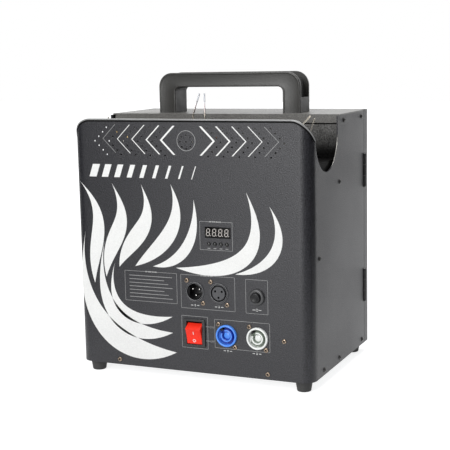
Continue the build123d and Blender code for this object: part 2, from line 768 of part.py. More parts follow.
# Burner brackets: bent strips on the trough floor that carry the heads
BRACKET_W = 32
BRACKET_HALF = 18
BRACKET_FOOT = 10
BRACKET_REACH = 14
with BuildPart() as nozzle_brackets:
    floor_z = TROUGH_Z + SHEET
    with BuildSketch(facing_front(HEAD_Y + BRACKET_W / 2)):
        top = HEAD_Z + NOZZLE_FOOT["centre"] - PLATE_T / 2
        low = floor_z + PLATE_T / 2
        with BuildLine():
            Polyline(
                (CX - BRACKET_HALF - BRACKET_FOOT, low),
                (CX - BRACKET_HALF, low),
                (CX - BRACKET_HALF, top),
                (CX + BRACKET_HALF, top),
                (CX + BRACKET_HALF, low),
                (CX + BRACKET_HALF + BRACKET_FOOT, low),
            )
        trace(line_width=PLATE_T)
    extrude(amount=BRACKET_W)
    for side in (-1, 1):
        centre_x = 84 + (NOZZLE_FOOT["right"] - PLATE_T / 2) * sin(radians(45))
        centre_z = HEAD_Z + (NOZZLE_FOOT["right"] - PLATE_T / 2) * cos(radians(45))
        reach = BRACKET_REACH * cos(radians(45))
        low_x = centre_x + centre_z - floor_z - PLATE_T
        with BuildSketch(facing_front(HEAD_Y + BRACKET_W / 2)):
            with BuildLine():
                Polyline(
                    (CX + side * (centre_x - reach - BRACKET_FOOT - 2), low),
                    (CX + side * (centre_x - reach), low),
                    (CX + side * (centre_x - reach), centre_z + reach),
                    (CX + side * low_x, floor_z + PLATE_T),
                )
            trace(line_width=PLATE_T)
        extrude(amount=BRACKET_W)
keep(nozzle_brackets.part, "nozzle_brackets")

# Gas pipes: from each valve through the trough's back wall to its nozzle
with BuildPart() as gas_pipes:
    for side, x, tilt in HEADS:
        frame = head_frame(side, x, tilt)
        end = frame.from_local_coords((0, 6.2, 4.5))
        with BuildLine() as route:
            FilletPolyline(
                (CX + x, VALVE_FRONT, PORT_Z),
                (CX + x, WALL_Y - 12, PORT_Z),
                (end.X, end.Y + 12, end.Z),
                (end.X, end.Y, end.Z),
                radius=PIPE_BEND,
            )
        with BuildSketch(Plane((CX + x, VALVE_FRONT, PORT_Z), z_dir=(0, -1, 0))):
            Circle(PIPE_D / 2)
        sweep(path=route.wire())
keep(gas_pipes.part, "gas_pipes")

# Solenoid valves: brass body with the can's neck below, coil and plunger behind
for side, x, tilt in HEADS:
    with BuildPart() as valve_body:
        with BuildSketch(Plane.XY.offset(SHELF_Z + SHELF_T)):
            with Locations((CX + x, (VALVE_FRONT + COIL_FRONT) / 2)):
                RectangleRounded(VALVE_W, COIL_FRONT - VALVE_FRONT, 2)
        extrude(amount=VALVE_W)
        with BuildSketch(facing_front(COIL_FRONT)):
            with Locations((CX + x, PORT_Z)):
                Circle(PLUNGER_R)
        extrude(amount=6, mode=Mode.SUBTRACT)
        with BuildSketch(facing_front(VALVE_FRONT)):
            with Locations((CX + x, PORT_Z)):
                Circle(1.2)
        extrude(amount=-16, mode=Mode.SUBTRACT)
    keep(valve_body.part, f"{side}_valve_body")
    with BuildPart() as valve_plunger:
        with BuildSketch(facing_front(COIL_FRONT + PLUNGER_IN_COIL)):
            with Locations((CX + x, PORT_Z)):
                Circle(PLUNGER_R - RUN)
        extrude(amount=PLUNGER_IN_COIL + PLUNGER_IN_BODY)
    keep(valve_plunger.part, f"{side}_valve_plunger")

with BuildPart() as valve_coils:
    for x in CAN_X:
        with BuildSketch(facing_front(COIL_BACK)):
            with Locations((CX + x, PORT_Z)):
                RectangleRounded(VALVE_W + 2, VALVE_W - 1, 3)
        extrude(amount=COIL_BACK - COIL_FRONT)
        with BuildSketch(facing_front(COIL_FRONT)):
            with Locations((CX + x, PORT_Z)):
                Circle(PLUNGER_R)
        extrude(amount=-PLUNGER_IN_COIL - PLUNGER_STROKE, mode=Mode.SUBTRACT)
keep(valve_coils.part, "valve_coils")

# Can seats: brass cups under the shelf that each take a can's valve stem
with BuildPart() as can_seats:
    for x in CAN_X:
        with BuildSketch(Plane((CX + x, CAN_Y, SHELF_Z - SEAT_H))):
            Circle(SEAT_R)
            Circle(SEAT_BORE_R, mode=Mode.SUBTRACT)
        extrude(amount=SEAT_H)
        with BuildSketch(Plane((CX + x, CAN_Y, SHELF_Z - 6))):
            Circle(SEAT_BORE_R)
            Circle(2, mode=Mode.SUBTRACT)
        extrude(amount=6)
        with BuildSketch(Plane((CX + x, CAN_Y, SHELF_Z))):
            Circle(SEAT_NECK_R - RUN)
            Circle(2, mode=Mode.SUBTRACT)
        extrude(amount=SHELF_T)
keep(can_seats.part, "can_seats")

# Can cradles: cups that push the cans up into their seats, and their springs
for side, x, tilt in HEADS:
    with BuildPart() as can_cradle:
        with BuildSketch(Plane((CX + x, CAN_Y, CRADLE_Z))):
            Circle(CAN_D / 2 + CRADLE_WALL)
        extrude(amount=CRADLE_WALL)
        with BuildSketch(Plane((CX + x, CAN_Y, CRADLE_Z + CRADLE_WALL))):
            Circle(CAN_D / 2 + CRADLE_WALL)
            Circle(CAN_D / 2 + 0.5, mode=Mode.SUBTRACT)
        extrude(amount=CRADLE_RIM)
        with BuildSketch(Plane((CX + x, CAN_Y, CRADLE_Z))):
            Circle(POST_D / 2 + CRADLE_WALL)
        extrude(amount=-CRADLE_SLEEVE)
        with BuildSketch(Plane((CX + x, CAN_Y, CRADLE_Z - CRADLE_SLEEVE))):
            Circle(POST_D / 2 + RUN)
        extrude(amount=CRADLE_SLEEVE, mode=Mode.SUBTRACT)
    keep(can_cradle.part, f"{side}_can_cradle")
    spring_low = BZ + SHEET + WIRE_D / 2 + RUN
    spring_high = CRADLE_Z - WIRE_D / 2 - RUN
    with BuildPart() as cradle_spring:
        with BuildLine() as coil:
            Helix(
                (spring_high - spring_low) / SPRING_TURNS,
                spring_high - spring_low,
                SPRING_R,
                center=(CX + x, CAN_Y, spring_low),
            )
        with BuildSketch(Plane(coil.line @ 0, z_dir=coil.line % 0)):
            Circle(WIRE_D / 2)
        sweep(path=coil.line, is_frenet=True)
    keep(cradle_spring.part, f"{side}_cradle_spring")

# Power supply: a covered box on the partition with its terminal strip
supply_x, supply_z, supply_w, supply_h, supply_d = SUPPLY
with BuildPart() as power_supply:
    with BuildSketch(facing_front(WALL_Y)):
        with Locations(on_panel((supply_x, supply_z))):
            RectangleRounded(supply_w, supply_h, SHEET)
    extrude(amount=supply_d)
    with BuildSketch(facing_front(WALL_Y - supply_d)):
        with Locations(on_panel((supply_x - supply_w / 2 + 8.5, supply_z))):
            Rectangle(12, supply_h - 15)
    extrude(amount=8)
keep(power_supply.part, "power_supply")

# Control board: on spacers, with relays, capacitors, headers and the tilt switch
# that cuts the gas if the machine falls over
board_x, board_z, board_w, board_h, board_t = BOARD
board_face = WALL_Y - BOARD_GAP - board_t
with BuildPart() as control_board:
    with BuildSketch(facing_front(WALL_Y)) as spacers:
        with Locations(on_panel((board_x, board_z))):
            with GridLocations(board_w - 12, board_h - 12, 2, 2):
                Circle(3)
    extrude(amount=BOARD_GAP)
    with BuildSketch(facing_front(WALL_Y - BOARD_GAP)):
        with Locations(on_panel((board_x, board_z))):
            Rectangle(board_w, board_h)
    extrude(amount=board_t)
    with BuildSketch(facing_front(board_face)) as relays:
        with Locations(on_panel((board_x, board_z + 24))):
            with GridLocations(24, 1, 4, 1):
                Rectangle(19, 15.5)
    extrude(amount=15)
    with BuildSketch(facing_front(board_face)) as capacitors:
        with Locations(on_panel((board_x, board_z - 6))):
            with GridLocations(20, 1, 4, 1):
                Circle(5)
    extrude(amount=16)
    with BuildSketch(facing_front(board_face)) as headers:
        with Locations(on_panel((board_x, board_z - 32))):
            with GridLocations(30, 1, 3, 1):
                Rectangle(24, 9)
    extrude(amount=10)
    with BuildSketch(facing_front(board_face)) as tilt_switch:
        with Locations(on_panel((board_x + 42, board_z + 6))):
            Rectangle(14, 12)
    extrude(amount=18)
keep(control_board.part, "control_board")

# Ignition modules: three potted high-voltage blocks, one for each head
igniter_w, igniter_h, igniter_d = IGNITER
with BuildPart() as ignition_modules:
    for z in IGNITERS_Z:
        with BuildSketch(facing_front(WALL_Y)):
            with Locations(on_panel((IGNITERS_X, z))):
                RectangleRounded(igniter_w, igniter_h, 3)
        extrude(amount=igniter_d)
        with BuildSketch(facing_front(WALL_Y - igniter_d)):
            with Locations(on_panel((IGNITERS_X, z + 14))):
                with GridLocations(16, 1, 2, 1):
                    Circle(3)
        extrude(amount=7)
keep(ignition_modules.part, "ignition_modules")

# Display: window in the panel, digit block and board behind it, four keys
with BuildPart() as display_window:
    with BuildSketch(facing_front(FY + SHEET)):
        with Locations(on_panel(WINDOW)):
            Rectangle(WINDOW_W - 0.1, WINDOW_H - 0.1)
    extrude(amount=SHEET + 0.4)
    with BuildSketch(facing_front(FY + SHEET + 1)):
        with Locations(on_panel(WINDOW)):
            Rectangle(WINDOW_W + 3, WINDOW_H + 3)
    extrude(amount=1)
keep(display_window.part, "display_window")

with BuildPart() as display_module:
    with BuildSketch(facing_front(FY + 10)):
        with Locations(on_panel(WINDOW)):
            Rectangle(WINDOW_W + 1, WINDOW_H + 2)
    extrude(amount=10 - SHEET - 1.2)
    with BuildSketch(facing_front(FY + 11.6)):
        with Locations(on_panel((WINDOW[0], WINDOW[1] - 6))):
            Rectangle(40, 34)
    extrude(amount=1.6)
    with BuildSketch(facing_front(FY + 10)):
        for step in range(4):
            with Locations(on_panel((WINDOW[0] + BUTTON_STEP * (step - 1.5), BUTTON_Z))):
                Rectangle(6, 6)
    extrude(amount=4)
keep(display_module.part, "display_module")

BUTTON_NAMES = ("menu_button", "down_button", "up_button", "enter_button")
for step, name in enumerate(BUTTON_NAMES):
    place = on_panel((WINDOW[0] + BUTTON_STEP * (step - 1.5), BUTTON_Z))
    with BuildPart() as key_cap:
        with BuildSketch(facing_front(FY + 5)):
            with Locations(place):
                Circle(BUTTON_R)
        extrude(amount=5 + BUTTON_PROUD)
        with BuildSketch(facing_front(FY + SHEET + 1)):
            with Locations(place):
                Circle(BUTTON_R + 0.9)
        extrude(amount=1 - RUN)
        fillet(key_cap.faces().sort_by(Axis.Y)[0].edges(), 0.4)
    keep(key_cap.part, name)


def socket_body(place, barrel_r, proud, depth):
    """Flange behind the panel, barrel out through it and body to the rear."""
    with BuildSketch(facing_front(FY + SHEET + FLANGE_T)) as flange:
        with Locations(on_panel(place)):
            RectangleRounded(FLANGE_W, FLANGE_H, 3)
    extrude(flange.sketch, amount=FLANGE_T)
    with BuildSketch(facing_front(FY + SHEET)) as barrel:
        with Locations(on_panel(place)):
            Circle(barrel_r)
    extrude(barrel.sketch, amount=SHEET + proud)
    with BuildSketch(facing_front(FY + SHEET + FLANGE_T)) as body:
        with Locations(on_panel(place)):
            Circle(barrel_r - 0.5)
    extrude(body.sketch, amount=-depth)


# Data sockets: a three-pin plug socket in and a three-hole socket out
with BuildPart() as data_in_socket:
    socket_body(PLUG_SOCKET, DATA_BARREL_R, DATA_PROUD, 22)
    with BuildSketch(facing_front(FY - DATA_PROUD)):
        with Locations(on_panel(PLUG_SOCKET)):
            Circle(DATA_HOLLOW_R)
    extrude(amount=-14, mode=Mode.SUBTRACT)
    with BuildSketch(facing_front(FY - DATA_PROUD + 14)):
        with Locations(on_panel(PLUG_SOCKET)):
            with PolarLocations(PIN_CIRCLE, 3, start_angle=-90):
                Circle(1.2)
    extrude(amount=11)
    add(screw_ways.part, mode=Mode.SUBTRACT)
keep(data_in_socket.part, "data_in_socket")

with BuildPart() as data_out_socket:
    socket_body(DATA_SOCKET, DATA_BARREL_R, DATA_PROUD, 22)
    with BuildSketch(facing_front(FY - DATA_PROUD)):
        with Locations(on_panel(DATA_SOCKET)):
            Circle(DATA_HOLLOW_R)
            Circle(DATA_HOLLOW_R - 1.6, mode=Mode.SUBTRACT)
    extrude(amount=-8, mode=Mode.SUBTRACT)
    with BuildSketch(facing_front(FY - DATA_PROUD)):
        with Locations(on_panel(DATA_SOCKET)):
            with PolarLocations(PIN_CIRCLE, 3, start_angle=-90):
                Circle(1.3)
    extrude(amount=-10, mode=Mode.SUBTRACT)
    add(screw_ways.part, mode=Mode.SUBTRACT)
keep(data_out_socket.part, "data_out_socket")

# Power sockets: round twist-lock inlet and outlet with a ring groove and key
for name, place in (("power_inlet", INLET), ("power_outlet", OUTLET)):
    with BuildPart() as power_socket:
        socket_body(place, BARREL_R, BARREL_PROUD, 24)
        with BuildSketch(facing_front(FY - BARREL_PROUD)):
            with Locations(on_panel(place)):
                Circle(GROOVE_OUT_R)
                Circle(GROOVE_IN_R, mode=Mode.SUBTRACT)
                Rectangle(3, 2 * GROOVE_OUT_R)
        extrude(amount=-11, mode=Mode.SUBTRACT)
        with BuildSketch(facing_front(FY - BARREL_PROUD + 1.5)):
            with Locations(on_panel(place)):
                Circle(GROOVE_IN_R)
        extrude(amount=1.5, mode=Mode.SUBTRACT)
        add(screw_ways.part, mode=Mode.SUBTRACT)
    keep(power_socket.part, name)

# Breaker: threaded body behind the panel, ring nut in front, and its button
with BuildPart() as breaker_body:
    with BuildSketch(facing_front(FY)):
        with Locations(on_panel(BREAKER)):
            Circle(NUT_R)
            Circle(RESET_R + RUN, mode=Mode.SUBTRACT)
    extrude(amount=NUT_PROUD)
    with BuildSketch(facing_front(FY + SHEET)):
        with Locations(on_panel(BREAKER)):
            Circle(RESET_R + 0.5 - RUN)
            Circle(RESET_R + RUN, mode=Mode.SUBTRACT)
    extrude(amount=SHEET)
    with BuildSketch(facing_front(FY + 30)):
        with Locations(on_panel(BREAKER)):
            RectangleRounded(18, 30, 2)
    extrude(amount=30 - SHEET)
    with BuildSketch(facing_front(FY + SHEET)):
        with Locations(on_panel(BREAKER)):
            Circle(RESET_R + RUN)
    extrude(amount=-12, mode=Mode.SUBTRACT)
keep(breaker_body.part, "breaker_body")

with BuildPart() as reset_button:
    with BuildSketch(facing_front(FY + 12)):
        with Locations(on_panel(BREAKER)):
            Circle(RESET_R)
    extrude(amount=12 + RESET_PROUD)
    fillet(reset_button.faces().sort_by(Axis.Y)[0].edges(), 1)
keep(reset_button.part, "reset_button")

# Rocker switch: housing clipped into the panel and the rocker on its pivot. Half of the
# rocker's section is given from its hollow face over the ridge and down its skirt, as
# distances ahead of the pivot and above it.
ROCKER_HOLLOW = 12.3
ROCKER_SKIRT = ((13.2, 8.9), (10.9, 9.84), (8.27, 10.6), (5.98, 11.24), (3.85, 11.84), (-1, 4))
with BuildPart() as rocker_housing:
    with BuildSketch(facing_front(FY)):
        with Locations(on_panel(ROCKER)):
            RectangleRounded(ROCKER_W, ROCKER_H, 2)
    extrude(amount=BEZEL_PROUD)
    with BuildSketch(facing_front(FY)):
        with Locations(on_panel(ROCKER)):
            Rectangle(ROCKER_HOLE_W - 0.1, ROCKER_HOLE_H - 0.1)
    extrude(amount=-24)
    with BuildSketch(facing_front(FY - BEZEL_PROUD)):
        with Locations(on_panel(ROCKER)):
            Rectangle(ROCKER_LEN + 0.6, 25.4)
    extrude(amount=-16, mode=Mode.SUBTRACT)
keep(rocker_housing.part, "rocker_housing")

with BuildPart() as rocker:
    tilt = radians(ROCKER_TILT)
    rocker_plane = Plane(
        (CX + ROCKER[0] - ROCKER_LEN / 2, ROCKER_PIVOT, BZ + ROCKER[1]),
        x_dir=(0, cos(tilt), sin(tilt)),
        z_dir=(1, 0, 0),
    )
    with BuildSketch(rocker_plane):
        with BuildLine():
            Polyline(
                (-ROCKER_HOLLOW, 0),
                *[(-ahead, rise) for ahead, rise in ROCKER_SKIRT],
                *[(-ahead, -rise) for ahead, rise in reversed(ROCKER_SKIRT)],
                close=True,
            )
        make_face()
    extrude(amount=ROCKER_LEN)
keep(rocker.part, "rocker")

os.makedirs("parts", exist_ok=True)
for node in nodes:
    export_step(node, f"parts/{node.label}.step")
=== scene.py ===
import json
from math import cos, pi, radians, sin

import bmesh
import bpy
import numpy as np
from mathutils import Matrix, Vector

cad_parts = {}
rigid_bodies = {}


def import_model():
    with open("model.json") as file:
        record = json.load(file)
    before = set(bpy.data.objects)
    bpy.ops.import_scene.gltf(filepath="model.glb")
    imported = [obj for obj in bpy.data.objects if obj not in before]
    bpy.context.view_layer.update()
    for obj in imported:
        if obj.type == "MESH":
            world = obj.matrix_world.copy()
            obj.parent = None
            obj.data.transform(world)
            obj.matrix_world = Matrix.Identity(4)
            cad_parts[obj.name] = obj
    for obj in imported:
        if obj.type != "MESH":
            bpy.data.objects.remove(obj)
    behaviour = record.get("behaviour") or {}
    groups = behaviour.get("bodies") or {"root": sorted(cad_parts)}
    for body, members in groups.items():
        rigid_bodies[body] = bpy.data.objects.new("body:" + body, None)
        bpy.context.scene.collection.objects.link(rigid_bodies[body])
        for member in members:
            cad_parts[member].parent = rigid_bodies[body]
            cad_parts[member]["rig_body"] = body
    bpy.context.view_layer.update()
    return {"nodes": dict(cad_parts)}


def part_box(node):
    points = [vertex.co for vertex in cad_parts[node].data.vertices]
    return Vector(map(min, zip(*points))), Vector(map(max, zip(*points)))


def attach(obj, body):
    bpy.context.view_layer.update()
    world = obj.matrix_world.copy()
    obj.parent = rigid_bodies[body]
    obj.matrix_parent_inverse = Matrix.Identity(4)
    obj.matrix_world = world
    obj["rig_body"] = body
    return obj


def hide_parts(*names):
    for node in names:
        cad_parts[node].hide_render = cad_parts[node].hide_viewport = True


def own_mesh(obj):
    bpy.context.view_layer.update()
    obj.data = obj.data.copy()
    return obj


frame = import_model()
nodes = frame["nodes"]
MM = 0.001

# The camera stands at the right front and looks down a little on the corner, with a
# long lens that keeps the case's edges almost parallel.
CAMERA_PLACE = Vector((0.520, -1.16435, 0.3592))
CAMERA_TURN = radians(24.1)
CAMERA_DOWN = radians(8.88)
CAMERA_ROLL = radians(-1.21)
LENS = 89.6
FILM_WIDTH = 36

back = Vector((
    sin(CAMERA_TURN) * cos(CAMERA_DOWN), -cos(CAMERA_TURN) * cos(CAMERA_DOWN), sin(CAMERA_DOWN)
))
level_right = (-back).cross(Vector((0, 0, 1))).normalized()
level_up = level_right.cross(-back)
right = level_right * cos(CAMERA_ROLL) + level_up * sin(CAMERA_ROLL)
up = level_up * cos(CAMERA_ROLL) - level_right * sin(CAMERA_ROLL)
camera_data = bpy.data.cameras.new("camera")
camera_data.lens = LENS
camera_data.sensor_width = FILM_WIDTH
camera = bpy.data.objects.new("camera", camera_data)
camera.matrix_world = Matrix.Translation(CAMERA_PLACE) @ Matrix((right, up, back)).transposed().to_4x4()
bpy.context.scene.collection.objects.link(camera)
bpy.context.scene.camera = camera
bpy.context.scene.view_settings.view_transform = "Standard"


def soft_box(name, place, aim, size, power):
    """A square soft light at a place, turned to face the point it is aimed at."""
    lamp = bpy.data.lights.new(name, "AREA")
    lamp.shape = "SQUARE"
    lamp.size = size
    lamp.energy = power
    holder = bpy.data.objects.new(name, lamp)
    direction = Vector(aim) - Vector(place)
    holder.matrix_world = (
        Matrix.Translation(place) @ direction.to_track_quat("-Z", "Y").to_matrix().to_4x4()
    )
    holder.visible_camera = False
    bpy.context.scene.collection.objects.link(holder)


# The studio: a wide soft light at the left front over a small low one, one far round to
# the right, one behind that the lid mirrors and one above, over a white floor.
HEART = (0, 0, 0.15)
soft_box("front_light", (-0.35, -2.4, 1.35), HEART, 1.2, 47)
soft_box("low_light", (-0.25, -1.9, 0.22), (0.1, 0, 0.0), 0.5, 5)
soft_box("side_light", (1.1, 1.9, 0.9), HEART, 1.0, 5)
soft_box("back_light", (-0.9, 2.0, 0.85), HEART, 1.2, 2)
soft_box("top_light", (0.2, 0.4, 2.2), HEART, 1.5, 26)


def dark_card(name, start, stop, distance, height):
    """A black card that curves round the object between two turns from the front, in
    degrees to the right. Only reflections see it."""
    turns = np.radians(np.linspace(start, stop, 17))
    row = np.stack([np.sin(turns) * distance, -np.cos(turns) * distance, np.zeros(17)], -1)
    points = np.concatenate([row, row + (0, 0, height)])
    quads = [(i, i + 1, i + 18, i + 17) for i in range(16)]
    mesh = bpy.data.meshes.new(name)
    mesh.from_pydata(points.tolist(), [], quads)
    card = bpy.data.objects.new(name, mesh)
    bpy.context.scene.collection.objects.link(card)
    black = bpy.data.materials.new(name)
    black.use_nodes = True
    shader = black.node_tree.nodes["Principled BSDF"]
    shader.inputs["Base Color"].default_value = (0.015, 0.015, 0.015, 1)
    shader.inputs["Specular IOR Level"].default_value = 0
    mesh.materials.append(black)
    card.visible_camera = False
    card.visible_diffuse = False
    card.visible_shadow = False
    card.visible_transmission = False


dark_card("right_card", 28, 138, 0.5, 0.75)
dark_card("left_card", -90, -22, 0.5, 0.75)

world = bpy.data.worlds.new("studio")
bpy.context.scene.world = world
world.use_nodes = True
sky = world.node_tree
sky.nodes.clear()
sky_out = sky.nodes.new("ShaderNodeOutputWorld")
sky_mix = sky.nodes.new("ShaderNodeMixShader")
sky_fill = sky.nodes.new("ShaderNodeBackground")
sky_fill.inputs["Color"].default_value = (0.92, 0.95, 1.0, 1)
sky_fill.inputs["Strength"].default_value = 0.42
sky_white = sky.nodes.new("ShaderNodeBackground")
sky_white.inputs["Color"].default_value = (1, 1, 1, 1)
sky_white.inputs["Strength"].default_value = 1.0
sky_path = sky.nodes.new("ShaderNodeLightPath")
seen_or_shiny = sky.nodes.new("ShaderNodeMath")
seen_or_shiny.operation = "MAXIMUM"
sky.links.new(sky_path.outputs["Is Camera Ray"], seen_or_shiny.inputs[0])
sky.links.new(sky_path.outputs["Is Glossy Ray"], seen_or_shiny.inputs[1])
seen_through = sky.nodes.new("ShaderNodeMath")
seen_through.operation = "MAXIMUM"
sky.links.new(seen_or_shiny.outputs[0], seen_through.inputs[0])
sky.links.new(sky_path.outputs["Is Transmission Ray"], seen_through.inputs[1])
sky.links.new(seen_through.outputs[0], sky_mix.inputs["Fac"])
sky.links.new(sky_fill.outputs[0], sky_mix.inputs[1])
sky.links.new(sky_white.outputs[0], sky_mix.inputs[2])
sky.links.new(sky_mix.outputs[0], sky_out.inputs["Surface"])

FLOOR_HALF = 6.0
floor_mesh = bpy.data.meshes.new("floor")
floor_mesh.from_pydata(
    [(-FLOOR_HALF, -FLOOR_HALF, 0), (FLOOR_HALF, -FLOOR_HALF, 0),
     (FLOOR_HALF, FLOOR_HALF, 0), (-FLOOR_HALF, FLOOR_HALF, 0)],
    [], [(0, 1, 2, 3)],
)
floor = bpy.data.objects.new("floor", floor_mesh)
bpy.context.scene.collection.objects.link(floor)
floor_paint = bpy.data.materials.new("floor_white")
floor_paint.use_nodes = True
ground = floor_paint.node_tree
ground.nodes.clear()
ground_out = ground.nodes.new("ShaderNodeOutputMaterial")
ground_sum = ground.nodes.new("ShaderNodeAddShader")
ground_matt = ground.nodes.new("ShaderNodeBsdfDiffuse")
ground_matt.inputs["Color"].default_value = (0.5, 0.5, 0.5, 1)
ground_glow = ground.nodes.new("ShaderNodeEmission")
ground_path = ground.nodes.new("ShaderNodeLightPath")
ground_seen = ground.nodes.new("ShaderNodeMath")
ground_seen.operation = "MAXIMUM"
ground_level = ground.nodes.new("ShaderNodeMath")
ground_level.operation = "MULTIPLY"
ground_place = ground.nodes.new("ShaderNodeTexCoord")
ground_reach = ground.nodes.new("ShaderNodeVectorMath")
ground_reach.operation = "LENGTH"
ground_fade = ground.nodes.new("ShaderNodeMapRange")
ground_fade.inputs["From Min"].default_value = 0.35
ground_fade.inputs["From Max"].default_value = 1.6
ground_fade.inputs["To Min"].default_value = 0.76
ground_fade.inputs["To Max"].default_value = 1.0
ground.links.new(ground_place.outputs["Object"], ground_reach.inputs[0])
ground.links.new(ground_reach.outputs["Value"], ground_fade.inputs["Value"])
ground.links.new(ground_fade.outputs["Result"], ground_level.inputs[1])
ground.links.new(ground_path.outputs["Is Camera Ray"], ground_seen.inputs[0])
ground.links.new(ground_path.outputs["Is Glossy Ray"], ground_seen.inputs[1])
ground.links.new(ground_seen.outputs[0], ground_level.inputs[0])
ground.links.new(ground_level.outputs[0], ground_glow.inputs["Strength"])
ground.links.new(ground_matt.outputs[0], ground_sum.inputs[0])
ground.links.new(ground_glow.outputs[0], ground_sum.inputs[1])
ground.links.new(ground_sum.outputs[0], ground_out.inputs["Surface"])
floor_mesh.materials.append(floor_paint)


# The case. Folded sheet steel, powder coated charcoal with a fine pebbled grain: the
# cover wraps both front corners, flat webs close the sides, a lid and a door the rest.
def surface_group():
    """Colour that drifts between two tones and is speckled by a grain, with its
    roughness and the grain's height. Drift is a broad noise and grain a fine one."""
    group = bpy.data.node_groups.new("worked_surface", "ShaderNodeTree")
    sockets = (
        ("Colour", "NodeSocketColor"), ("Shade", "NodeSocketColor"),
        ("Drift Size", "NodeSocketFloat"), ("Drift", "NodeSocketFloat"),
        ("Grain Size", "NodeSocketFloat"), ("Grain", "NodeSocketFloat"),
        ("Roughness", "NodeSocketFloat"), ("Uneven", "NodeSocketFloat"),
        ("Stretch", "NodeSocketVector"),
    )
    for label, kind in sockets:
        group.interface.new_socket(name=label, in_out="INPUT", socket_type=kind)
    for label, kind in (("Colour", "NodeSocketColor"), ("Roughness", "NodeSocketFloat"),
                        ("Height", "NodeSocketFloat")):
        group.interface.new_socket(name=label, in_out="OUTPUT", socket_type=kind)
    given = group.nodes.new("NodeGroupInput")
    result = group.nodes.new("NodeGroupOutput")
    place = group.nodes.new("ShaderNodeTexCoord")
    stretched = group.nodes.new("ShaderNodeVectorMath")
    stretched.operation = "MULTIPLY"
    group.links.new(place.outputs["Object"], stretched.inputs[0])
    group.links.new(given.outputs["Stretch"], stretched.inputs[1])

    def noise(size_socket, detail, vector):
        per_metre = group.nodes.new("ShaderNodeMath")
        per_metre.operation = "DIVIDE"
        per_metre.inputs[0].default_value = 1
        group.links.new(given.outputs[size_socket], per_metre.inputs[1])
        pattern = group.nodes.new("ShaderNodeTexNoise")
        pattern.inputs["Detail"].default_value = detail
        group.links.new(vector, pattern.inputs["Vector"])
        group.links.new(per_metre.outputs[0], pattern.inputs["Scale"])
        spread = group.nodes.new("ShaderNodeMapRange")
        spread.inputs["From Min"].default_value = 0.3
        spread.inputs["From Max"].default_value = 0.7
        group.links.new(pattern.outputs["Fac"], spread.inputs["Value"])
        return spread.outputs["Result"]

    def scaled(value, amount_socket, offset):
        centred = group.nodes.new("ShaderNodeMath")
        centred.operation = "SUBTRACT"
        centred.inputs[1].default_value = 0.5
        group.links.new(value, centred.inputs[0])
        sized = group.nodes.new("ShaderNodeMath")
        sized.operation = "MULTIPLY_ADD"
        group.links.new(centred.outputs[0], sized.inputs[0])
        group.links.new(given.outputs[amount_socket], sized.inputs[1])
        if isinstance(offset, (int, float)):
            sized.inputs[2].default_value = offset
        else:
            group.links.new(offset, sized.inputs[2])
        return sized.outputs[0]

    drift = noise("Drift Size", 5, place.outputs["Object"])
    grain = noise("Grain Size", 2, stretched.outputs[0])
    amount = group.nodes.new("ShaderNodeMath")
    amount.operation = "MULTIPLY"
    group.links.new(drift, amount.inputs[0])
    group.links.new(given.outputs["Drift"], amount.inputs[1])
    tones = group.nodes.new("ShaderNodeMix")
    tones.data_type = "RGBA"
    group.links.new(amount.outputs[0], tones.inputs["Factor"])
    group.links.new(given.outputs["Colour"], tones.inputs[6])
    group.links.new(given.outputs["Shade"], tones.inputs[7])
    speckle = group.nodes.new("ShaderNodeVectorMath")
    speckle.operation = "SCALE"
    group.links.new(tones.outputs[2], speckle.inputs[0])
    group.links.new(scaled(grain, "Grain", 1), speckle.inputs["Scale"])
    group.links.new(speckle.outputs[0], result.inputs["Colour"])
    group.links.new(scaled(drift, "Uneven", given.outputs["Roughness"]), result.inputs["Roughness"])
    group.links.new(grain, result.inputs["Height"])
    return group


worked_surface = surface_group()


def finish(name, colour, shade, roughness, metallic=0.0, drift=(0.06, 0.5), grain=(0.0009, 0.25),
           relief=0.03, uneven=0.08, stretch=(1, 1, 1), **shader_values):
    """A material of two close tones with drift and grain as (size in metres, amount),
    a relief in millimetres, and any other value set on the shader's own sockets."""
    material = bpy.data.materials.new(name)
    material.use_nodes = True
    tree = material.node_tree
    shader = tree.nodes["Principled BSDF"]
    surface = tree.nodes.new("ShaderNodeGroup")
    surface.node_tree = worked_surface
    values = {
        "Colour": (*colour, 1), "Shade": (*shade, 1), "Drift Size": drift[0], "Drift": drift[1],
        "Grain Size": grain[0], "Grain": grain[1], "Roughness": roughness, "Uneven": uneven,
        "Stretch": stretch,
    }
    for label, value in values.items():
        surface.inputs[label].default_value = value
    bump = tree.nodes.new("ShaderNodeBump")
    bump.inputs["Distance"].default_value = relief * MM
    tree.links.new(surface.outputs["Colour"], shader.inputs["Base Color"])
    tree.links.new(surface.outputs["Roughness"], shader.inputs["Roughness"])
    tree.links.new(surface.outputs["Height"], bump.inputs["Height"])
    tree.links.new(bump.outputs["Normal"], shader.inputs["Normal"])
    shader.inputs["Metallic"].default_value = metallic
    for label, value in shader_values.items():
        shader.inputs[label.replace("_", " ")].default_value = value
    return material


def settle(piece, material, node, sharp=40):
    """Link a finished piece, shade it, give it its material and the body of the CAD node
    that it stands for or sits on."""
    bpy.context.scene.collection.objects.link(piece)
    piece.data.materials.append(material)
    piece.data.shade_smooth()
    piece.data.set_sharp_from_angle(angle=radians(sharp))
    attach(piece, nodes[node]["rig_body"])
    return piece


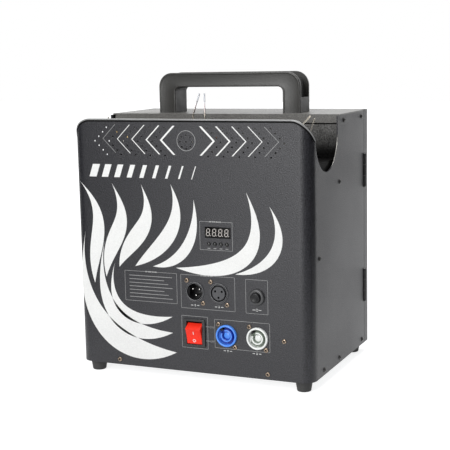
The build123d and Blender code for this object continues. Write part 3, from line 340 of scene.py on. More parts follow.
def rounded(node, width, material, segments=2, sharp=40):
    """A merged copy of a CAD node with its sharp edges rolled over by width, in mm."""
    mesh = nodes[node].data.copy()
    mesh.materials.clear()
    work = bmesh.new()
    work.from_mesh(mesh)
    bmesh.ops.remove_doubles(work, verts=work.verts, dist=2e-6)
    bmesh.ops.dissolve_limit(work, angle_limit=radians(0.5), verts=work.verts, edges=work.edges)
    work.to_mesh(mesh)
    work.free()
    mesh.name = f"{node}_finish"
    piece = settle(bpy.data.objects.new(f"{node}_finish", mesh), material, node, sharp)
    if width:
        bevel = piece.modifiers.new("rolled_edges", "BEVEL")
        bevel.width = width * MM
        bevel.segments = segments
        bevel.limit_method = "ANGLE"
        bevel.angle_limit = radians(sharp)
        bevel.harden_normals = True
    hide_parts(node)
    return piece


case_paint = finish(
    "case_powder_coat", (0.020, 0.020, 0.0235), (0.014, 0.014, 0.017), 0.40,
    drift=(0.09, 0.6), grain=(0.0012, 1.5), relief=0.13, uneven=0.06, Specular_IOR_Level=0.48,
)
# The lid is in the case's charcoal paint; its far lighter tone here is a painted reflection, the sheen of
# the light from above at a grazing angle.
lid_painted_sheen = finish(
    "lid_coat_painted_sheen", (0.130, 0.126, 0.117), (0.102, 0.099, 0.092), 0.40,
    drift=(0.07, 0.6), grain=(0.0009, 0.9), relief=0.07, uneven=0.06,
)
for sheet in ("left_side_panel", "right_side_panel", "rear_door", "front_cover"):
    rounded(sheet, 0.25, case_paint)
rounded("top_cover", 0.25, lid_painted_sheen)

def made(name, grids, material, node, sharp=40, replaces=()):
    """A piece of grids of points, each as (points, rows meet, columns meet). Neighbouring
    points join into quads, a direction that meets joins its last line to its first, and a
    row drawn in to one point closes as a pole."""
    points, quads, first = [], [], 0
    for grid, rows_meet, columns_meet in grids:
        rows, columns = grid.shape[:2]
        row, column = np.meshgrid(
            np.arange(rows if rows_meet else rows - 1),
            np.arange(columns if columns_meet else columns - 1), indexing="ij",
        )
        next_row, next_column = (row + 1) % rows, (column + 1) % columns
        corners = ((row, column), (row, next_column), (next_row, next_column), (next_row, column))
        quads.append(np.stack([r * columns + c for r, c in corners], -1).reshape(-1, 4) + first)
        points.append(grid.reshape(-1, 3))
        first += rows * columns
    mesh = bpy.data.meshes.new(name)
    mesh.from_pydata(np.concatenate(points).tolist(), [], np.concatenate(quads).tolist())
    work = bmesh.new()
    work.from_mesh(mesh)
    bmesh.ops.remove_doubles(work, verts=work.verts, dist=1e-7)
    bmesh.ops.dissolve_degenerate(work, edges=work.edges, dist=1e-8)
    bmesh.ops.recalc_face_normals(work, faces=work.faces)
    work.to_mesh(mesh)
    work.free()
    piece = settle(bpy.data.objects.new(name, mesh), material, node, sharp)
    if replaces:
        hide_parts(*replaces)
    return piece


def capped(grid):
    """The grid with each end row drawn in to its own middle."""
    first = np.broadcast_to(grid[:1].mean(1, keepdims=True), grid[:1].shape)
    last = np.broadcast_to(grid[-1:].mean(1, keepdims=True), grid[-1:].shape)
    return np.concatenate([first, grid, last])


# The round cut-outs' sheared edges: a thin strip of pale metal at their rear and bottom on each
# side panel, fading out at both ends, paints the highlight that the cut's face catches from the front light.
cut_edge_highlight = finish(
    "cut_edge_painted_highlight", (0.34, 0.33, 0.31), (0.22, 0.215, 0.20), 0.4, metallic=0.7,
    drift=(0.004, 0.9), grain=(0.0009, 0.3), relief=0.02,
)
CUT_R = 36 * MM
for side in ("left", "right"):
    panel_low, panel_high = (np.array(corner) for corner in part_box(f"{side}_side_panel"))
    outer_x = panel_high[0] if side == "right" else panel_low[0]
    turn = np.linspace(-1.1, 0.02, 60)
    fade = np.sin(np.linspace(0, pi, 60)) ** 0.4
    cut_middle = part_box("front_cover")[0][1] + 51 * MM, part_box("front_cover")[0][2] + 254 * MM
    inward = -1 if side == "right" else 1
    strip = np.stack([
        np.stack([
            outer_x + inward * (0.35 + reach * fade) * MM,
            cut_middle[0] + (CUT_R - lift * MM) * np.cos(turn),
            cut_middle[1] + (CUT_R - lift * MM) * np.sin(turn),
        ], -1)
        for reach, lift in ((0, -0.02), (0, 0.05), (0.9, 0.05), (0.9, -0.02))
    ], 1)
    made(f"{side}_cutout_edge_highlight", [(capped(strip), False, True)], cut_edge_highlight, f"{side}_side_panel")


# The edge trim. A bead of satin plastic is pressed over the cover's raw top edge from seam to
# seam; its pale grey is partly a painted highlight along the edge. The black lip under it is a
# painted shadow, the shade in the gap between the bead and the paint.
cover_low, cover_high = (np.array(corner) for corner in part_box("front_cover"))
MIDDLE = (cover_low[0] + cover_high[0]) / 2
FRONT = cover_low[1]
BOTTOM = cover_low[2]
COVER_HALF = (cover_high[0] - cover_low[0]) / 2
COVER_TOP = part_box("cover_edge_trim")[1][2]
BEND = 14 * MM
CORNER = 22 * MM


def along(path, sideways, upright, section):
    """A section of (sideways, upright) offsets carried along a path: each point of the
    grid is the path's point plus the two offsets along its own two directions."""
    return capped(
        path[:, None] + section[None, :, :1] * sideways[:, None]
        + section[None, :, 1:] * upright[:, None]
    )


def superellipse(half_width, half_height, power, count):
    """A loop whose width and height powers add up to one, square-ish above power 2."""
    turn = np.arange(count) * 2 * pi / count
    shape = 2 / power
    return np.stack([
        half_width * np.sign(np.cos(turn)) * np.abs(np.cos(turn)) ** shape,
        half_height * np.sign(np.sin(turn)) * np.abs(np.sin(turn)) ** shape,
    ], -1)


arc = np.linspace(-pi / 2, 0, 30)
flat = np.linspace(-1, 1, 42)[1:-1] * (COVER_HALF - CORNER)
edge_x = np.concatenate([
    CORNER - COVER_HALF + CORNER * np.sin(arc), flat,
    COVER_HALF - CORNER - CORNER * np.sin(arc[::-1]),
])
edge_z = np.concatenate([
    COVER_TOP - CORNER + CORNER * np.cos(arc), np.full(40, COVER_TOP),
    COVER_TOP - CORNER + CORNER * np.cos(arc[::-1]),
])
lean = np.clip((np.abs(edge_x) - (COVER_HALF - BEND)) / BEND, 0, 1)
edge_path = np.stack(
    [MIDDLE + edge_x, FRONT + BEND * (1 - np.sqrt(1 - lean ** 2)), edge_z], -1
)
inward = np.stack([-np.sign(edge_x) * lean, np.sqrt(1 - lean ** 2), 0 * lean], -1)
ahead = np.gradient(edge_path, axis=0)
rise = np.cross(ahead, inward)
rise /= np.linalg.norm(rise, axis=1)[:, None]

# The bead's pale grey partly paints the highlight that the light from above lays along the edge.
bead_plastic_and_highlight = finish(
    "edge_bead_painted_highlight", (0.27, 0.27, 0.265), (0.20, 0.20, 0.20), 0.34,
    drift=(0.05, 0.7), grain=(0.0016, 0.12), relief=0.02,
)
# Near black: a painted shadow for the gap under the bead.
lip_painted_shadow = finish(
    "edge_lip_painted_shadow", (0.003, 0.003, 0.003), (0.005, 0.005, 0.005), 0.7,
    drift=(0.02, 0.5), grain=(0.0007, 0.2), relief=0.02, Specular_IOR_Level=0.1,
)
bead_section = superellipse(2.3 * MM, 0.95 * MM, 2.6, 20) + (1.7 * MM, -0.95 * MM)
shadow_lip_section = superellipse(0.35 * MM, 0.9 * MM, 3, 12) + (0.1 * MM, -2.55 * MM)
made("cover_edge_bead", [(along(edge_path, inward, rise, bead_section), False, True)],
     bead_plastic_and_highlight, "cover_edge_trim", replaces=["cover_edge_trim"])
made("cover_edge_shadow_lip", [(along(edge_path, inward, rise, shadow_lip_section), False, True)],
     lip_painted_shadow, "cover_edge_trim")


# The screws. Pan heads with a cross recess, bronze plated: three on the front, two on each
# socket, seven on each side, one up inside each foot and one under each leg of the handle.
ACROSS_FRONT = np.array([(1, 0, 0), (0, 0, 1), (0, -1, 0)])
ACROSS_RIGHT = np.array([(0, 1, 0), (0, 0, 1), (1, 0, 0)])
ACROSS_LEFT = np.array([(0, -1, 0), (0, 0, 1), (-1, 0, 0)])
ACROSS_UNDER = np.array([(1, 0, 0), (0, -1, 0), (0, 0, -1)])
ACROSS_REAR = np.array([(-1, 0, 0), (0, 0, 1), (0, 1, 0)])
SIDE_SCREWS = ((37, 6), (89, 6), (173, 6), (24, 129.5), (92, 203), (108, 269), (172, 269))
SOCKET_PLACES = ((6, 90), (34.4, 90), (42.6, 44.2), (78.4, 44.2))


def front_place(x, z, proud=0.0):
    """A point of the front from its millimetres across, up and proud of the panel."""
    return np.array((MIDDLE + x * MM, FRONT - proud * MM, BOTTOM + z * MM))


def placed(points, axes, origin):
    """Points in millimetres along three axes, set down from an origin in metres."""
    return np.asarray(points) * MM @ axes + origin


def cross_recess(radius):
    """The turns and radii of a plus sign: in each direction the radius is the nearer of
    the arm's end and the arm's flank."""
    arm, half_arm = radius * 0.64, radius * 0.2
    corner = np.arctan2(half_arm, arm)
    part = np.array([0, corner / 2, corner, (corner + pi / 4) / 2, pi / 4])
    quarter = np.concatenate([part, pi / 2 - part[-2:0:-1]])
    turn = (np.arange(4)[:, None] * pi / 2 + quarter).ravel()
    longer = np.maximum(np.abs(np.cos(turn)), np.abs(np.sin(turn)))
    shorter = np.maximum(np.minimum(np.abs(np.cos(turn)), np.abs(np.sin(turn))), 1e-6)
    return turn, np.minimum(arm / longer, half_arm / shorter)


def round_rows(turn, rows):
    """Rings of (radius, height) at the same turns, the radius one number or one each."""
    return np.array([
        np.stack([r * np.cos(turn), r * np.sin(turn), np.full(len(turn), h)], -1)
        for r, h in rows
    ])


def pan_head(radius, height, shank, length):
    """A screw as rings of points round its axis, with a cross recess in its head."""
    turn, recess = cross_recess(radius)
    ring = np.ones_like(turn)
    return round_rows(turn, [
        (0 * ring, height * 0.1), (recess * 0.8, height * 0.12), (recess, height * 0.97),
        (0.5 * recess + 0.36 * radius * ring, height * 0.97), (0.76 * radius * ring, height * 0.9),
        (0.9 * radius * ring, height * 0.7), (0.985 * radius * ring, height * 0.42),
        (radius * ring, height * 0.14), (0.97 * radius * ring, 0), (shank * ring, 0),
        (shank * ring, -length), (0 * ring, -length),
    ])


def recess_shade_fill(radius, height):
    """A dark fill a little below the head's face: painted shade in the cross recess."""
    turn, recess = cross_recess(radius)
    return round_rows(turn, [(0 * turn, height * 0.66), (recess * 0.98, height * 0.66),
                             (recess * 0.9, height * 0.2), (0 * turn, height * 0.2)])


def screws(head, axes, origins, first_turn):
    """The same screw at every origin, each turned on by a golden part of a circle."""
    grids = []
    for step, origin in enumerate(origins):
        turn = first_turn + step * 2.399963
        spin = np.array([(cos(turn), sin(turn), 0), (-sin(turn), cos(turn), 0), (0, 0, 1)])
        grids.append((placed(head @ spin, axes, origin), False, True))
    return grids


small_head = pan_head(2.6, 1.2, 1.5, 4.5)
front_points = [front_place(*place) for place in ((-89.5, 6), (89.5, 6), (108.5, 43.6))]
for x, z in SOCKET_PLACES:
    front_points += [front_place(x - 9.5, z + 12), front_place(x + 9.5, z - 12)]
left_points = [(MIDDLE - COVER_HALF, FRONT + y * MM, BOTTOM + z * MM) for y, z in SIDE_SCREWS]
right_points = [(MIDDLE + COVER_HALF, FRONT + y * MM, BOTTOM + z * MM) for y, z in SIDE_SCREWS]
feet_low, feet_high = (np.array(corner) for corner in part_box("rubber_feet"))
FOOT_R = 9.5 * MM
foot_points = [
    (x, y, 8 * MM)
    for x in (feet_low[0] + FOOT_R, feet_high[0] - FOOT_R)
    for y in (feet_low[1] + FOOT_R, feet_high[1] - FOOT_R)
]
core_low, core_high = (np.array(corner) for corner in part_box("handle_core"))
HANDLE_SCREW_X = (176 - 21) / 2 * MM
handle_points = [
    (MIDDLE + side * HANDLE_SCREW_X, (core_low[1] + core_high[1]) / 2, core_low[2] - 1.5 * MM)
    for side in (-1, 1)
]
bronze_plate = finish(
    "screw_bronze_plate", (0.40, 0.31, 0.23), (0.24, 0.19, 0.15), 0.36, metallic=1.0,
    drift=(0.003, 0.9), grain=(0.0004, 0.3), relief=0.02, uneven=0.2,
)
dark_plate = finish(
    "screw_black_plate", (0.085, 0.082, 0.080), (0.055, 0.053, 0.052), 0.36, metallic=0.8,
    drift=(0.003, 0.9), grain=(0.0004, 0.3), relief=0.02, uneven=0.2,
)
# Near black: painted shade in the front screws' cross recesses.
recess_painted_shade = finish(
    "recess_painted_shade", (0.006, 0.005, 0.005), (0.012, 0.010, 0.009), 0.7,
    drift=(0.001, 0.8), grain=(0.0004, 0.3), Specular_IOR_Level=0.1,
)
made(
    "case_screws_finish",
    screws(small_head, ACROSS_FRONT, front_points, 0.3)
    + screws(pan_head(3.5, 2.5, 2, 8), ACROSS_UNDER, foot_points, 0.2)
    + screws(pan_head(4.5, 3, 2.5, 12), ACROSS_UNDER, handle_points, 0.9),
    bronze_plate, "case_screws", sharp=50, replaces=["case_screws"],
)
made(
    "side_screws_finish",
    screws(small_head, ACROSS_LEFT, left_points, 1.1)
    + screws(small_head, ACROSS_RIGHT, right_points, 0.7),
    dark_plate, "case_screws", sharp=50,
)
made("screw_recess_shade", screws(recess_shade_fill(2.6, 1.2), ACROSS_FRONT, front_points, 0.3),
     recess_painted_shade, "case_screws")


# The print. White ink laid a few hundredths of a millimetre proud of the front: chevrons
# and a ring round the vents, a row of bars, licks of flame, and a frame round each fitting.
INK = 0.06


def loop(width, height, radius, count=8):
    """A rounded rectangle as one round of points, four quarter circles in turn."""
    turn = np.linspace(0, pi / 2, count)
    quarters = [
        (sign_x * (width / 2 - radius), sign_z * (height / 2 - radius), start)
        for sign_x, sign_z, start in ((1, 1, 0), (-1, 1, 1), (-1, -1, 2), (1, -1, 3))
    ]
    return np.concatenate([
        np.stack([x + radius * np.cos(turn + start * pi / 2),
                  z + radius * np.sin(turn + start * pi / 2)], -1)
        for x, z, start in quarters
    ])


def inked(left, right, meets=False):
    """A flat stroke between two lines of panel millimetres, as a thin closed skin."""
    def at(line, proud):
        return placed(np.column_stack([line, np.full(len(line), proud)]), ACROSS_FRONT,
                      front_place(0, 0))
    skin = np.stack([at(left, -0.02), at(left, INK), at(right, INK), at(right, -0.02)], 1)
    return (skin if meets else capped(skin), meets, True)


def framed(x0, z0, x1, z1, width, radius=0.8):
    """A frame of one line's width inside a box of panel millimetres."""
    middle = ((x0 + x1) / 2, (z0 + z1) / 2)
    outer = loop(x1 - x0, z1 - z0, radius) + middle
    inner = loop(x1 - x0 - 2 * width, z1 - z0 - 2 * width, max(radius - width, 0.1)) + middle
    return inked(outer, inner, True)


def ringed(x, z, radius, width):
    """A round line about a panel place."""
    turn = np.arange(48) * 2 * pi / 48
    circle = np.stack([np.cos(turn), np.sin(turn)], -1)
    return inked(circle * radius + (x, z), circle * (radius - width) + (x, z), True)


def tongue(foot, swell, sway, tip, half_width, peak):
    """A lick of flame. Its middle line is a cubic curve pulled by two inner points, and
    its half width grows from nothing to the peak's share of the way, then thins out."""
    t = np.linspace(0, 1, 61)[:, None]
    line = (
        (1 - t) ** 3 * np.array(foot) + 3 * (1 - t) ** 2 * t * np.array(swell)
        + 3 * (1 - t) * t ** 2 * np.array(sway) + t ** 3 * np.array(tip)
    )
    way = np.gradient(line, axis=0)
    way /= np.linalg.norm(way, axis=1)[:, None]
    fall = (1 - peak) / peak
    width = half_width * t * (1 - t) ** fall / (peak * (1 - peak) ** fall) + 0.02
    beside = np.stack([-way[:, 1], way[:, 0]], -1) * width
    return inked(line + beside, line - beside)


VENT_MIDDLE = 251.6
CHEVRONS = {
    -1: ((29.8, 1.9, 0.3), (47.5, 1.3, 0.5), (65.2, 0.9, 0.8), (83.0, 0.7, 1.0), (101.0, 0.5, 1.3)),
    1: ((32.4, 1.9, 0), (50.6, 1.5, 0), (68.8, 1.1, 0), (87.0, 0.8, 0), (105.2, 0.55, 0)),
}
ARM = 15.5
white_ink = finish(
    "screen_ink_white", (0.78, 0.78, 0.76), (0.70, 0.70, 0.685), 0.5,
    drift=(0.03, 0.5), grain=(0.0011, 0.1), relief=0.03,
)
grey_ink = finish(
    "screen_ink_grey", (0.30, 0.30, 0.295), (0.21, 0.21, 0.21), 0.5,
    drift=(0.012, 0.7), grain=(0.0011, 0.3), relief=0.02,
)
caption_ink = finish(
    "screen_ink_pale", (0.55, 0.55, 0.54), (0.45, 0.45, 0.44), 0.5,
    drift=(0.012, 0.7), grain=(0.0011, 0.2), relief=0.02,
)
chevrons = []
for side, lines in CHEVRONS.items():
    for tip, width, raised in lines:
        middle = VENT_MIDDLE + 1.4 + raised
        bend = np.array([(tip - ARM, middle + ARM), (tip, middle), (tip - ARM, middle - ARM)])
        chevrons.append(inked((bend - (width * 0.7, 0)) * (side, 1),
                              (bend + (width * 0.7, 0)) * (side, 1)))
OUTERMOST = (4, 9)
made("print_chevrons", [c for step, c in enumerate(chevrons) if step not in OUTERMOST],
     white_ink, "front_cover")
made("print_outer_chevrons", [chevrons[step] for step in OUTERMOST], grey_ink, "front_cover")
BARS = 9
bars = []
for step in range(BARS):
    x = -120 + 125 * step / (BARS - 1)
    width = 9 - 8 * step / (BARS - 1)
    bars.append(inked(np.array([(x, 212), (x + 5, 226)]),
                      np.array([(x + width, 212), (x + width + 5, 226)])))
made("print_bars", bars, white_ink, "front_cover")
TONGUES = (
    ((-18, 20), (-96, 6), (-146, 60), (-128, 150), 13.0, 0.36),
    ((-22, 42), (-84, 28), (-122, 66), (-104, 140), 9.5, 0.38),
    ((-22, 60), (-68, 44), (-108, 62), (-92, 116), 6.0, 0.40),
    ((-118, 92), (-122, 140), (-92, 164), (-132, 206), 8.0, 0.42),
    ((-103, 100), (-100, 150), (-64, 156), (-92, 205), 9.5, 0.42),
    ((-86, 112), (-72, 150), (-34, 156), (-56, 205), 9.5, 0.42),
    ((-66, 114), (-36, 134), (0, 160), (-20, 206), 8.5, 0.45),
    ((-44, 115), (-6, 118), (12, 150), (7, 190), 6.0, 0.45),
    ((-16, 115), (54, 108), (98, 132), (68, 200), 8.5, 0.45),
    ((54, 112), (100, 118), (116, 150), (94, 186), 5.5, 0.45),
)
made("print_flames", [tongue(*shape) for shape in TONGUES], white_ink, "front_cover")
FRAMES = (
    (-10.8, 71.1, 53.2, 108.4), (65.4, 70.7, 90.9, 107.8), (-10.9, 27.0, 20.5, 62.9),
    (28.4, 29.7, 92.5, 61.5), (13.4, 136.5, 51.7, 167.5), (-79.7, 74.8, -15.4, 108.7),
)
made("print_frames",
     [framed(*box, 0.42) for box in FRAMES] + [ringed(0, VENT_MIDDLE + 1.4, 11, 0.6)],
     grey_ink, "front_cover")


def arrow(x, z, size, points_up):
    """A small solid arrow: a narrow stem that widens at once into its head."""
    sign = 1 if points_up else -1
    heights = np.array([-1, 0.1, 0.1, 1]) * size * sign + z
    halves = np.array([0.22, 0.22, 0.75, 0.04]) * size
    return inked(np.stack([x - halves, heights], -1), np.stack([x + halves, heights], -1))


def rule(x0, x1, z, width=0.9):
    """A level line between two places across the panel."""
    return inked(np.array([(x0, z - width / 2), (x1, z - width / 2)]),
                 np.array([(x0, z + width / 2), (x1, z + width / 2)]))


captions = []
for x, z, points_up in ((6, 75, True), (34.4, 75, False), (43.6, 27.4, True), (77.4, 27.4, False)):
    captions += [arrow(x, z, 1.4, points_up), rule(x - 5, x - 2.2, z, 0.8), rule(x + 2.2, x + 5, z, 0.8)]
captions += [ringed(78.2, 75, 1.5, 0.5), rule(73.2, 76, 75, 0.8), rule(80.4, 83.2, 75, 0.8)]
# Short dashes stand for the headings on the frames' upper lines.
for start, top in ((13, 108.2), (24.5, 167.3), (-54, 108.5)):
    for offset, length in ((0, 2.6), (3.3, 4.2), (8.2, 2.2), (11.1, 3.0)):
        captions.append(rule(start + offset, start + offset + length, top, 1.15))
made("print_captions", captions, caption_ink, "front_cover")
marks = []
for step in range(7):
    marks.append(rule(-74, -21 - 5 * (step * 5 % 3), 103.5 - 4 * step, 0.7))
for step in range(4):
    marks.append(rule(34.5 + 7 * (step - 1.5) - 1.6, 34.5 + 7 * (step - 1.5) + 1.6, 138.6, 0.8))
marks += [rule(18.2, 22.5, 52.2, 0.6), rule(18.2, 22.5, 36.4, 0.6)]
made("print_marks", marks, grey_ink, "front_cover")


def lettered(name, words, x, z, size):
    """A word of plain letters, made a mesh and then set on the panel as ink."""
    curve = bpy.data.curves.new(name, "FONT")
    curve.body = words
    curve.size = size * MM
    curve.extrude = 0.02 * MM
    shaper = bpy.data.objects.new(name, curve)
    bpy.context.scene.collection.objects.link(shaper)
    bpy.context.view_layer.update()
    seen = shaper.evaluated_get(bpy.context.evaluated_depsgraph_get())
    mesh = bpy.data.meshes.new_from_object(seen)
    bpy.data.objects.remove(shaper)
    place = front_place(x, z, 0.03)
    mesh.transform(Matrix.Translation(place) @ Matrix.Rotation(pi / 2, 4, "X"))
    mesh.materials.clear()
    mesh.name = name
    return settle(bpy.data.objects.new(name, mesh), grey_ink, "front_cover")


lettered("print_on", "ON", 22.9, 51, 3.0)
lettered("print_off", "OFF", 22.9, 35.2, 3.0)


# The carrying handle. Two moulded arches of hard plastic are bolted either side of a core
# whose grip is ribbed for the fingers, and the whole stands on the lid on its two legs.
handle_plastic = finish(
    "handle_moulding", (0.042, 0.041, 0.038), (0.028, 0.028, 0.026), 0.36,
    drift=(0.04, 0.7), grain=(0.0009, 0.22), relief=0.035, uneven=0.1,
)
core_plastic = finish(
    "handle_core_moulding", (0.020, 0.020, 0.020), (0.032, 0.032, 0.031), 0.5,
    drift=(0.012, 0.6), grain=(0.0008, 0.3), relief=0.05, uneven=0.12,
)
ARCH_W, ARCH_H, ARCH_LEG, ARCH_BAR, ARCH_T = 176, 46, 21, 16.5, 3
ARCH_OUT_R, ARCH_IN_R = 16, 6


def arch(half_width, height, radius):
    """The line of an arch from its left foot over to its right foot: a straight leg, a
    quarter circle and a level run, mirrored; every arch has the same count of points."""
    turn = np.linspace(0, pi / 2, 14)
    leg = np.linspace(0, height - radius, 10)[:-1]
    left = np.concatenate([
        np.stack([np.full(9, -half_width), leg], -1),
        np.stack([radius - half_width - radius * np.cos(turn),
                  height - radius + radius * np.sin(turn)], -1),
    ])
    middle = np.linspace(-1, 1, 21)[1:-1, None] * (half_width - radius, 0) + (0, height)
    return np.concatenate([left, middle, left[::-1] * (-1, 1)])


def arch_plate(face_y, outward):
    """One moulded plate as a band between two arches. Across the band its height runs up
    a rolled edge, over a low rim, down into an inset field and back over the other rim."""
    outer = arch(ARCH_W / 2, ARCH_H, ARCH_OUT_R)
    inner = arch(ARCH_W / 2 - ARCH_LEG, ARCH_H - ARCH_BAR, ARCH_IN_R)
    across = inner - outer
    width = np.linalg.norm(across, axis=1)[:, None]
    edge = np.array([(0, -ARCH_T), (0, -1.3), (0.10, -0.75), (0.38, -0.33), (0.8, -0.08), (1.25, 0),
                     (1.9, 0), (2.25, -0.12), (2.5, -0.35), (2.8, -0.42)])
    stations = [outer + across / width * inset for inset, _ in edge]
    stations += [inner - across / width * inset for inset, _ in edge[::-1]]
    heights = np.concatenate([edge[:, 1], edge[::-1, 1]])
    flat = np.stack(stations, 1)
    depth = np.broadcast_to(heights[None, :, None], (*flat.shape[:2], 1))
    points = np.concatenate([flat, depth], -1)
    axes = np.array([(1, 0, 0), (0, 0, 1), (0, outward, 0)])
    return (capped(placed(points, axes, (MIDDLE, face_y, core_low[2]))), False, True)


for plate, outward in (("handle_front_plate", -1), ("handle_back_plate", 1)):
    low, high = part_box(plate)
    face_y = low[1] if outward < 0 else high[1]
    made(f"{plate}_finish", [arch_plate(face_y, outward)], handle_plastic, plate, sharp=60,
         replaces=[plate])
rounded("handle_core", 0.35, core_plastic)


# The feet. Four tapered pads of black rubber, each counterbored from below for its screw,
# dusty in patches.
foot_rubber = finish(
    "foot_rubber", (0.030, 0.030, 0.030), (0.055, 0.054, 0.052), 0.68,
    drift=(0.006, 0.6), grain=(0.0006, 0.3), relief=0.05, uneven=0.1,
)
rounded("rubber_feet", 0.9, foot_rubber, segments=3)


# The hinges. Two steel butt hinges sprayed with the case, their leaves riveted inside it
# so that only the barrels show, each on a bright pin with a rolled head.
hinge_paint = finish(
    "hinge_paint", (0.018, 0.018, 0.019), (0.032, 0.032, 0.033), 0.38,
    drift=(0.01, 0.6), grain=(0.0008, 0.3), relief=0.04,
)
pin_steel = finish(
    "pin_steel", (0.42, 0.42, 0.43), (0.30, 0.30, 0.31), 0.3, metallic=1.0,
    drift=(0.008, 0.6), grain=(0.0004, 0.2), relief=0.01, stretch=(1, 1, 0.15),
)
for leaf in ("hinge_fixed_leaves", "hinge_door_leaves"):
    rounded(leaf, 0.2, hinge_paint)
rounded("hinge_pins", 0.25, pin_steel)


# The door lock. A chromed barrel through the door, with a keyed plug that carries the
# flat tongue behind the case's flange.
def turned(profile, axes, origin, count=48):
    """A profile of (radius, height) millimetres carried round an axis; where it meets the
    axis it closes as a pole, and otherwise its two ends are joined inside."""
    profile = np.asarray(profile, float)
    turn = np.arange(count) * 2 * pi / count
    grid = np.stack([
        profile[:, :1] * np.cos(turn), profile[:, :1] * np.sin(turn),
        np.broadcast_to(profile[:, 1:], (len(profile), count)),
    ], -1)
    return (placed(grid, axes, origin), bool(profile[0, 0] and profile[-1, 0]), True)


lock_chrome = finish(
    "lock_chrome", (0.62, 0.62, 0.64), (0.48, 0.48, 0.50), 0.18, metallic=1.0,
    drift=(0.006, 0.7), grain=(0.0003, 0.1), relief=0.004, uneven=0.12,
)
barrel_low, barrel_high = (np.array(corner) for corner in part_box("lock_barrel"))
LOCK_REACH = (barrel_high[1] - barrel_low[1]) / MM
lock_face = np.array(((barrel_low[0] + barrel_high[0]) / 2, barrel_high[1],
                      (barrel_low[2] + barrel_high[2]) / 2))
made(
    "lock_barrel_finish",
    [turned([(6.1, 0), (6.5, 0), (9.6, 0), (10.7, -0.35), (11.4, -1.1), (11.5, -2.0), (9.0, -2.0),
             (9.0, -LOCK_REACH), (6.1, -LOCK_REACH)], ACROSS_REAR, lock_face, 64)],
    lock_chrome, "lock_barrel", replaces=["lock_barrel"],
)
rounded("lock_cam", 0.3, lock_chrome)


# The trough. A folded steel channel across the top of the front, painted with the case and
# then scorched by the flames, with brackets that carry the three burner heads. Its colour
# darkens towards the floor as painted shade.
def tinted_by_height(material, low, high, stops, scale, amount):
    """Multiplies a material's colour by a ramp of (share, colour) between two heights
    above the floor, which a noise of that scale and amount makes uneven."""
    tree = material.node_tree
    shader = tree.nodes["Principled BSDF"]
    place = tree.nodes.new("ShaderNodeTexCoord")
    parts = tree.nodes.new("ShaderNodeSeparateXYZ")
    waver = tree.nodes.new("ShaderNodeTexNoise")
    waver.inputs["Scale"].default_value = scale
    height = tree.nodes.new("ShaderNodeMapRange")
    height.inputs["From Min"].default_value = low
    height.inputs["From Max"].default_value = high
    uneven = tree.nodes.new("ShaderNodeMath")
    uneven.operation = "MULTIPLY_ADD"
    uneven.inputs[1].default_value = amount
    ramp = tree.nodes.new("ShaderNodeValToRGB")
    while len(ramp.color_ramp.elements) < len(stops):
        ramp.color_ramp.elements.new(0.5)
    for element, (position, colour) in zip(ramp.color_ramp.elements, stops):
        element.position = position
        element.color = (*colour, 1)
    blend = tree.nodes.new("ShaderNodeMix")
    blend.data_type = "RGBA"
    blend.blend_type = "MULTIPLY"
    blend.inputs["Factor"].default_value = 1
    plain_colour = shader.inputs["Base Color"].links[0].from_socket
    tree.links.new(place.outputs["Object"], parts.inputs[0])
    tree.links.new(place.outputs["Object"], waver.inputs["Vector"])
    tree.links.new(parts.outputs["Z"], height.inputs["Value"])
    tree.links.new(waver.outputs["Fac"], uneven.inputs[0])
    tree.links.new(height.outputs["Result"], uneven.inputs[2])
    tree.links.new(uneven.outputs[0], ramp.inputs["Fac"])
    tree.links.new(plain_colour, blend.inputs[6])
    tree.links.new(ramp.outputs["Color"], blend.inputs[7])
    tree.links.new(blend.outputs[2], shader.inputs["Base Color"])
    return material


trough_steel = finish(
    "scorched_steel", (0.155, 0.152, 0.147), (0.092, 0.091, 0.087), 0.5,
    drift=(0.012, 0.9), grain=(0.0016, 1.0), relief=0.08, uneven=0.2, Specular_IOR_Level=0.05,
)
# Darker towards the trough's floor: painted shade deep in the channel.
TROUGH_FLOOR_SHADE = ((0.0, (0.02, 0.02, 0.02)), (0.18, (0.09, 0.09, 0.09)), (0.5, (0.55, 0.55, 0.55)), (0.9, (1, 1, 1)))
tinted_by_height(trough_steel, 0.2445, 0.284, TROUGH_FLOOR_SHADE, 90, 0.2)
rounded("burner_trough", 0.25, trough_steel)
bracket_steel = finish(
    "bracket_steel", (0.15, 0.145, 0.14), (0.085, 0.083, 0.080), 0.42, metallic=0.8,
    drift=(0.01, 0.8), grain=(0.0009, 0.3), relief=0.03, uneven=0.15,
)
rounded("nozzle_brackets", 0.25, bracket_steel)


# The burner heads. Brass nozzles with a hexagon foot, each beside two bright igniter wires
# that stand in white ceramic sleeves; the wires' tips are tinted blue and straw by heat.
brass = finish(
    "nozzle_brass", (0.66, 0.46, 0.19), (0.42, 0.28, 0.12), 0.28, metallic=1.0,
    drift=(0.008, 0.8), grain=(0.0005, 0.25), relief=0.012, uneven=0.2, stretch=(1, 1, 0.3),
)
ceramic = finish(
    "sleeve_ceramic", (0.78, 0.76, 0.70), (0.62, 0.58, 0.50), 0.32,
    drift=(0.01, 0.7), grain=(0.0006, 0.12), relief=0.015, Coat_Weight=0.4, Coat_Roughness=0.12,
)


wire_steel = finish(
    "igniter_wire", (0.86, 0.85, 0.83), (0.78, 0.77, 0.75), 0.30, metallic=1.0,
    drift=(0.01, 0.6), grain=(0.0006, 0.1), relief=0.004,
)
HEAT = ((0.0, (1, 1, 1)), (0.6, (1.0, 0.93, 0.80)), (0.8, (0.85, 0.74, 0.76)), (1.0, (0.80, 0.84, 0.92)))
tinted_by_height(wire_steel, 0.262, 0.310, HEAT, 260, 0.12)
for head in ("left", "centre", "right"):
    rounded(f"{head}_nozzle", 0.3, brass)
    rounded(f"{head}_electrodes", 0.25, wire_steel, sharp=50)
rounded("electrode_sleeves", 0.4, ceramic)


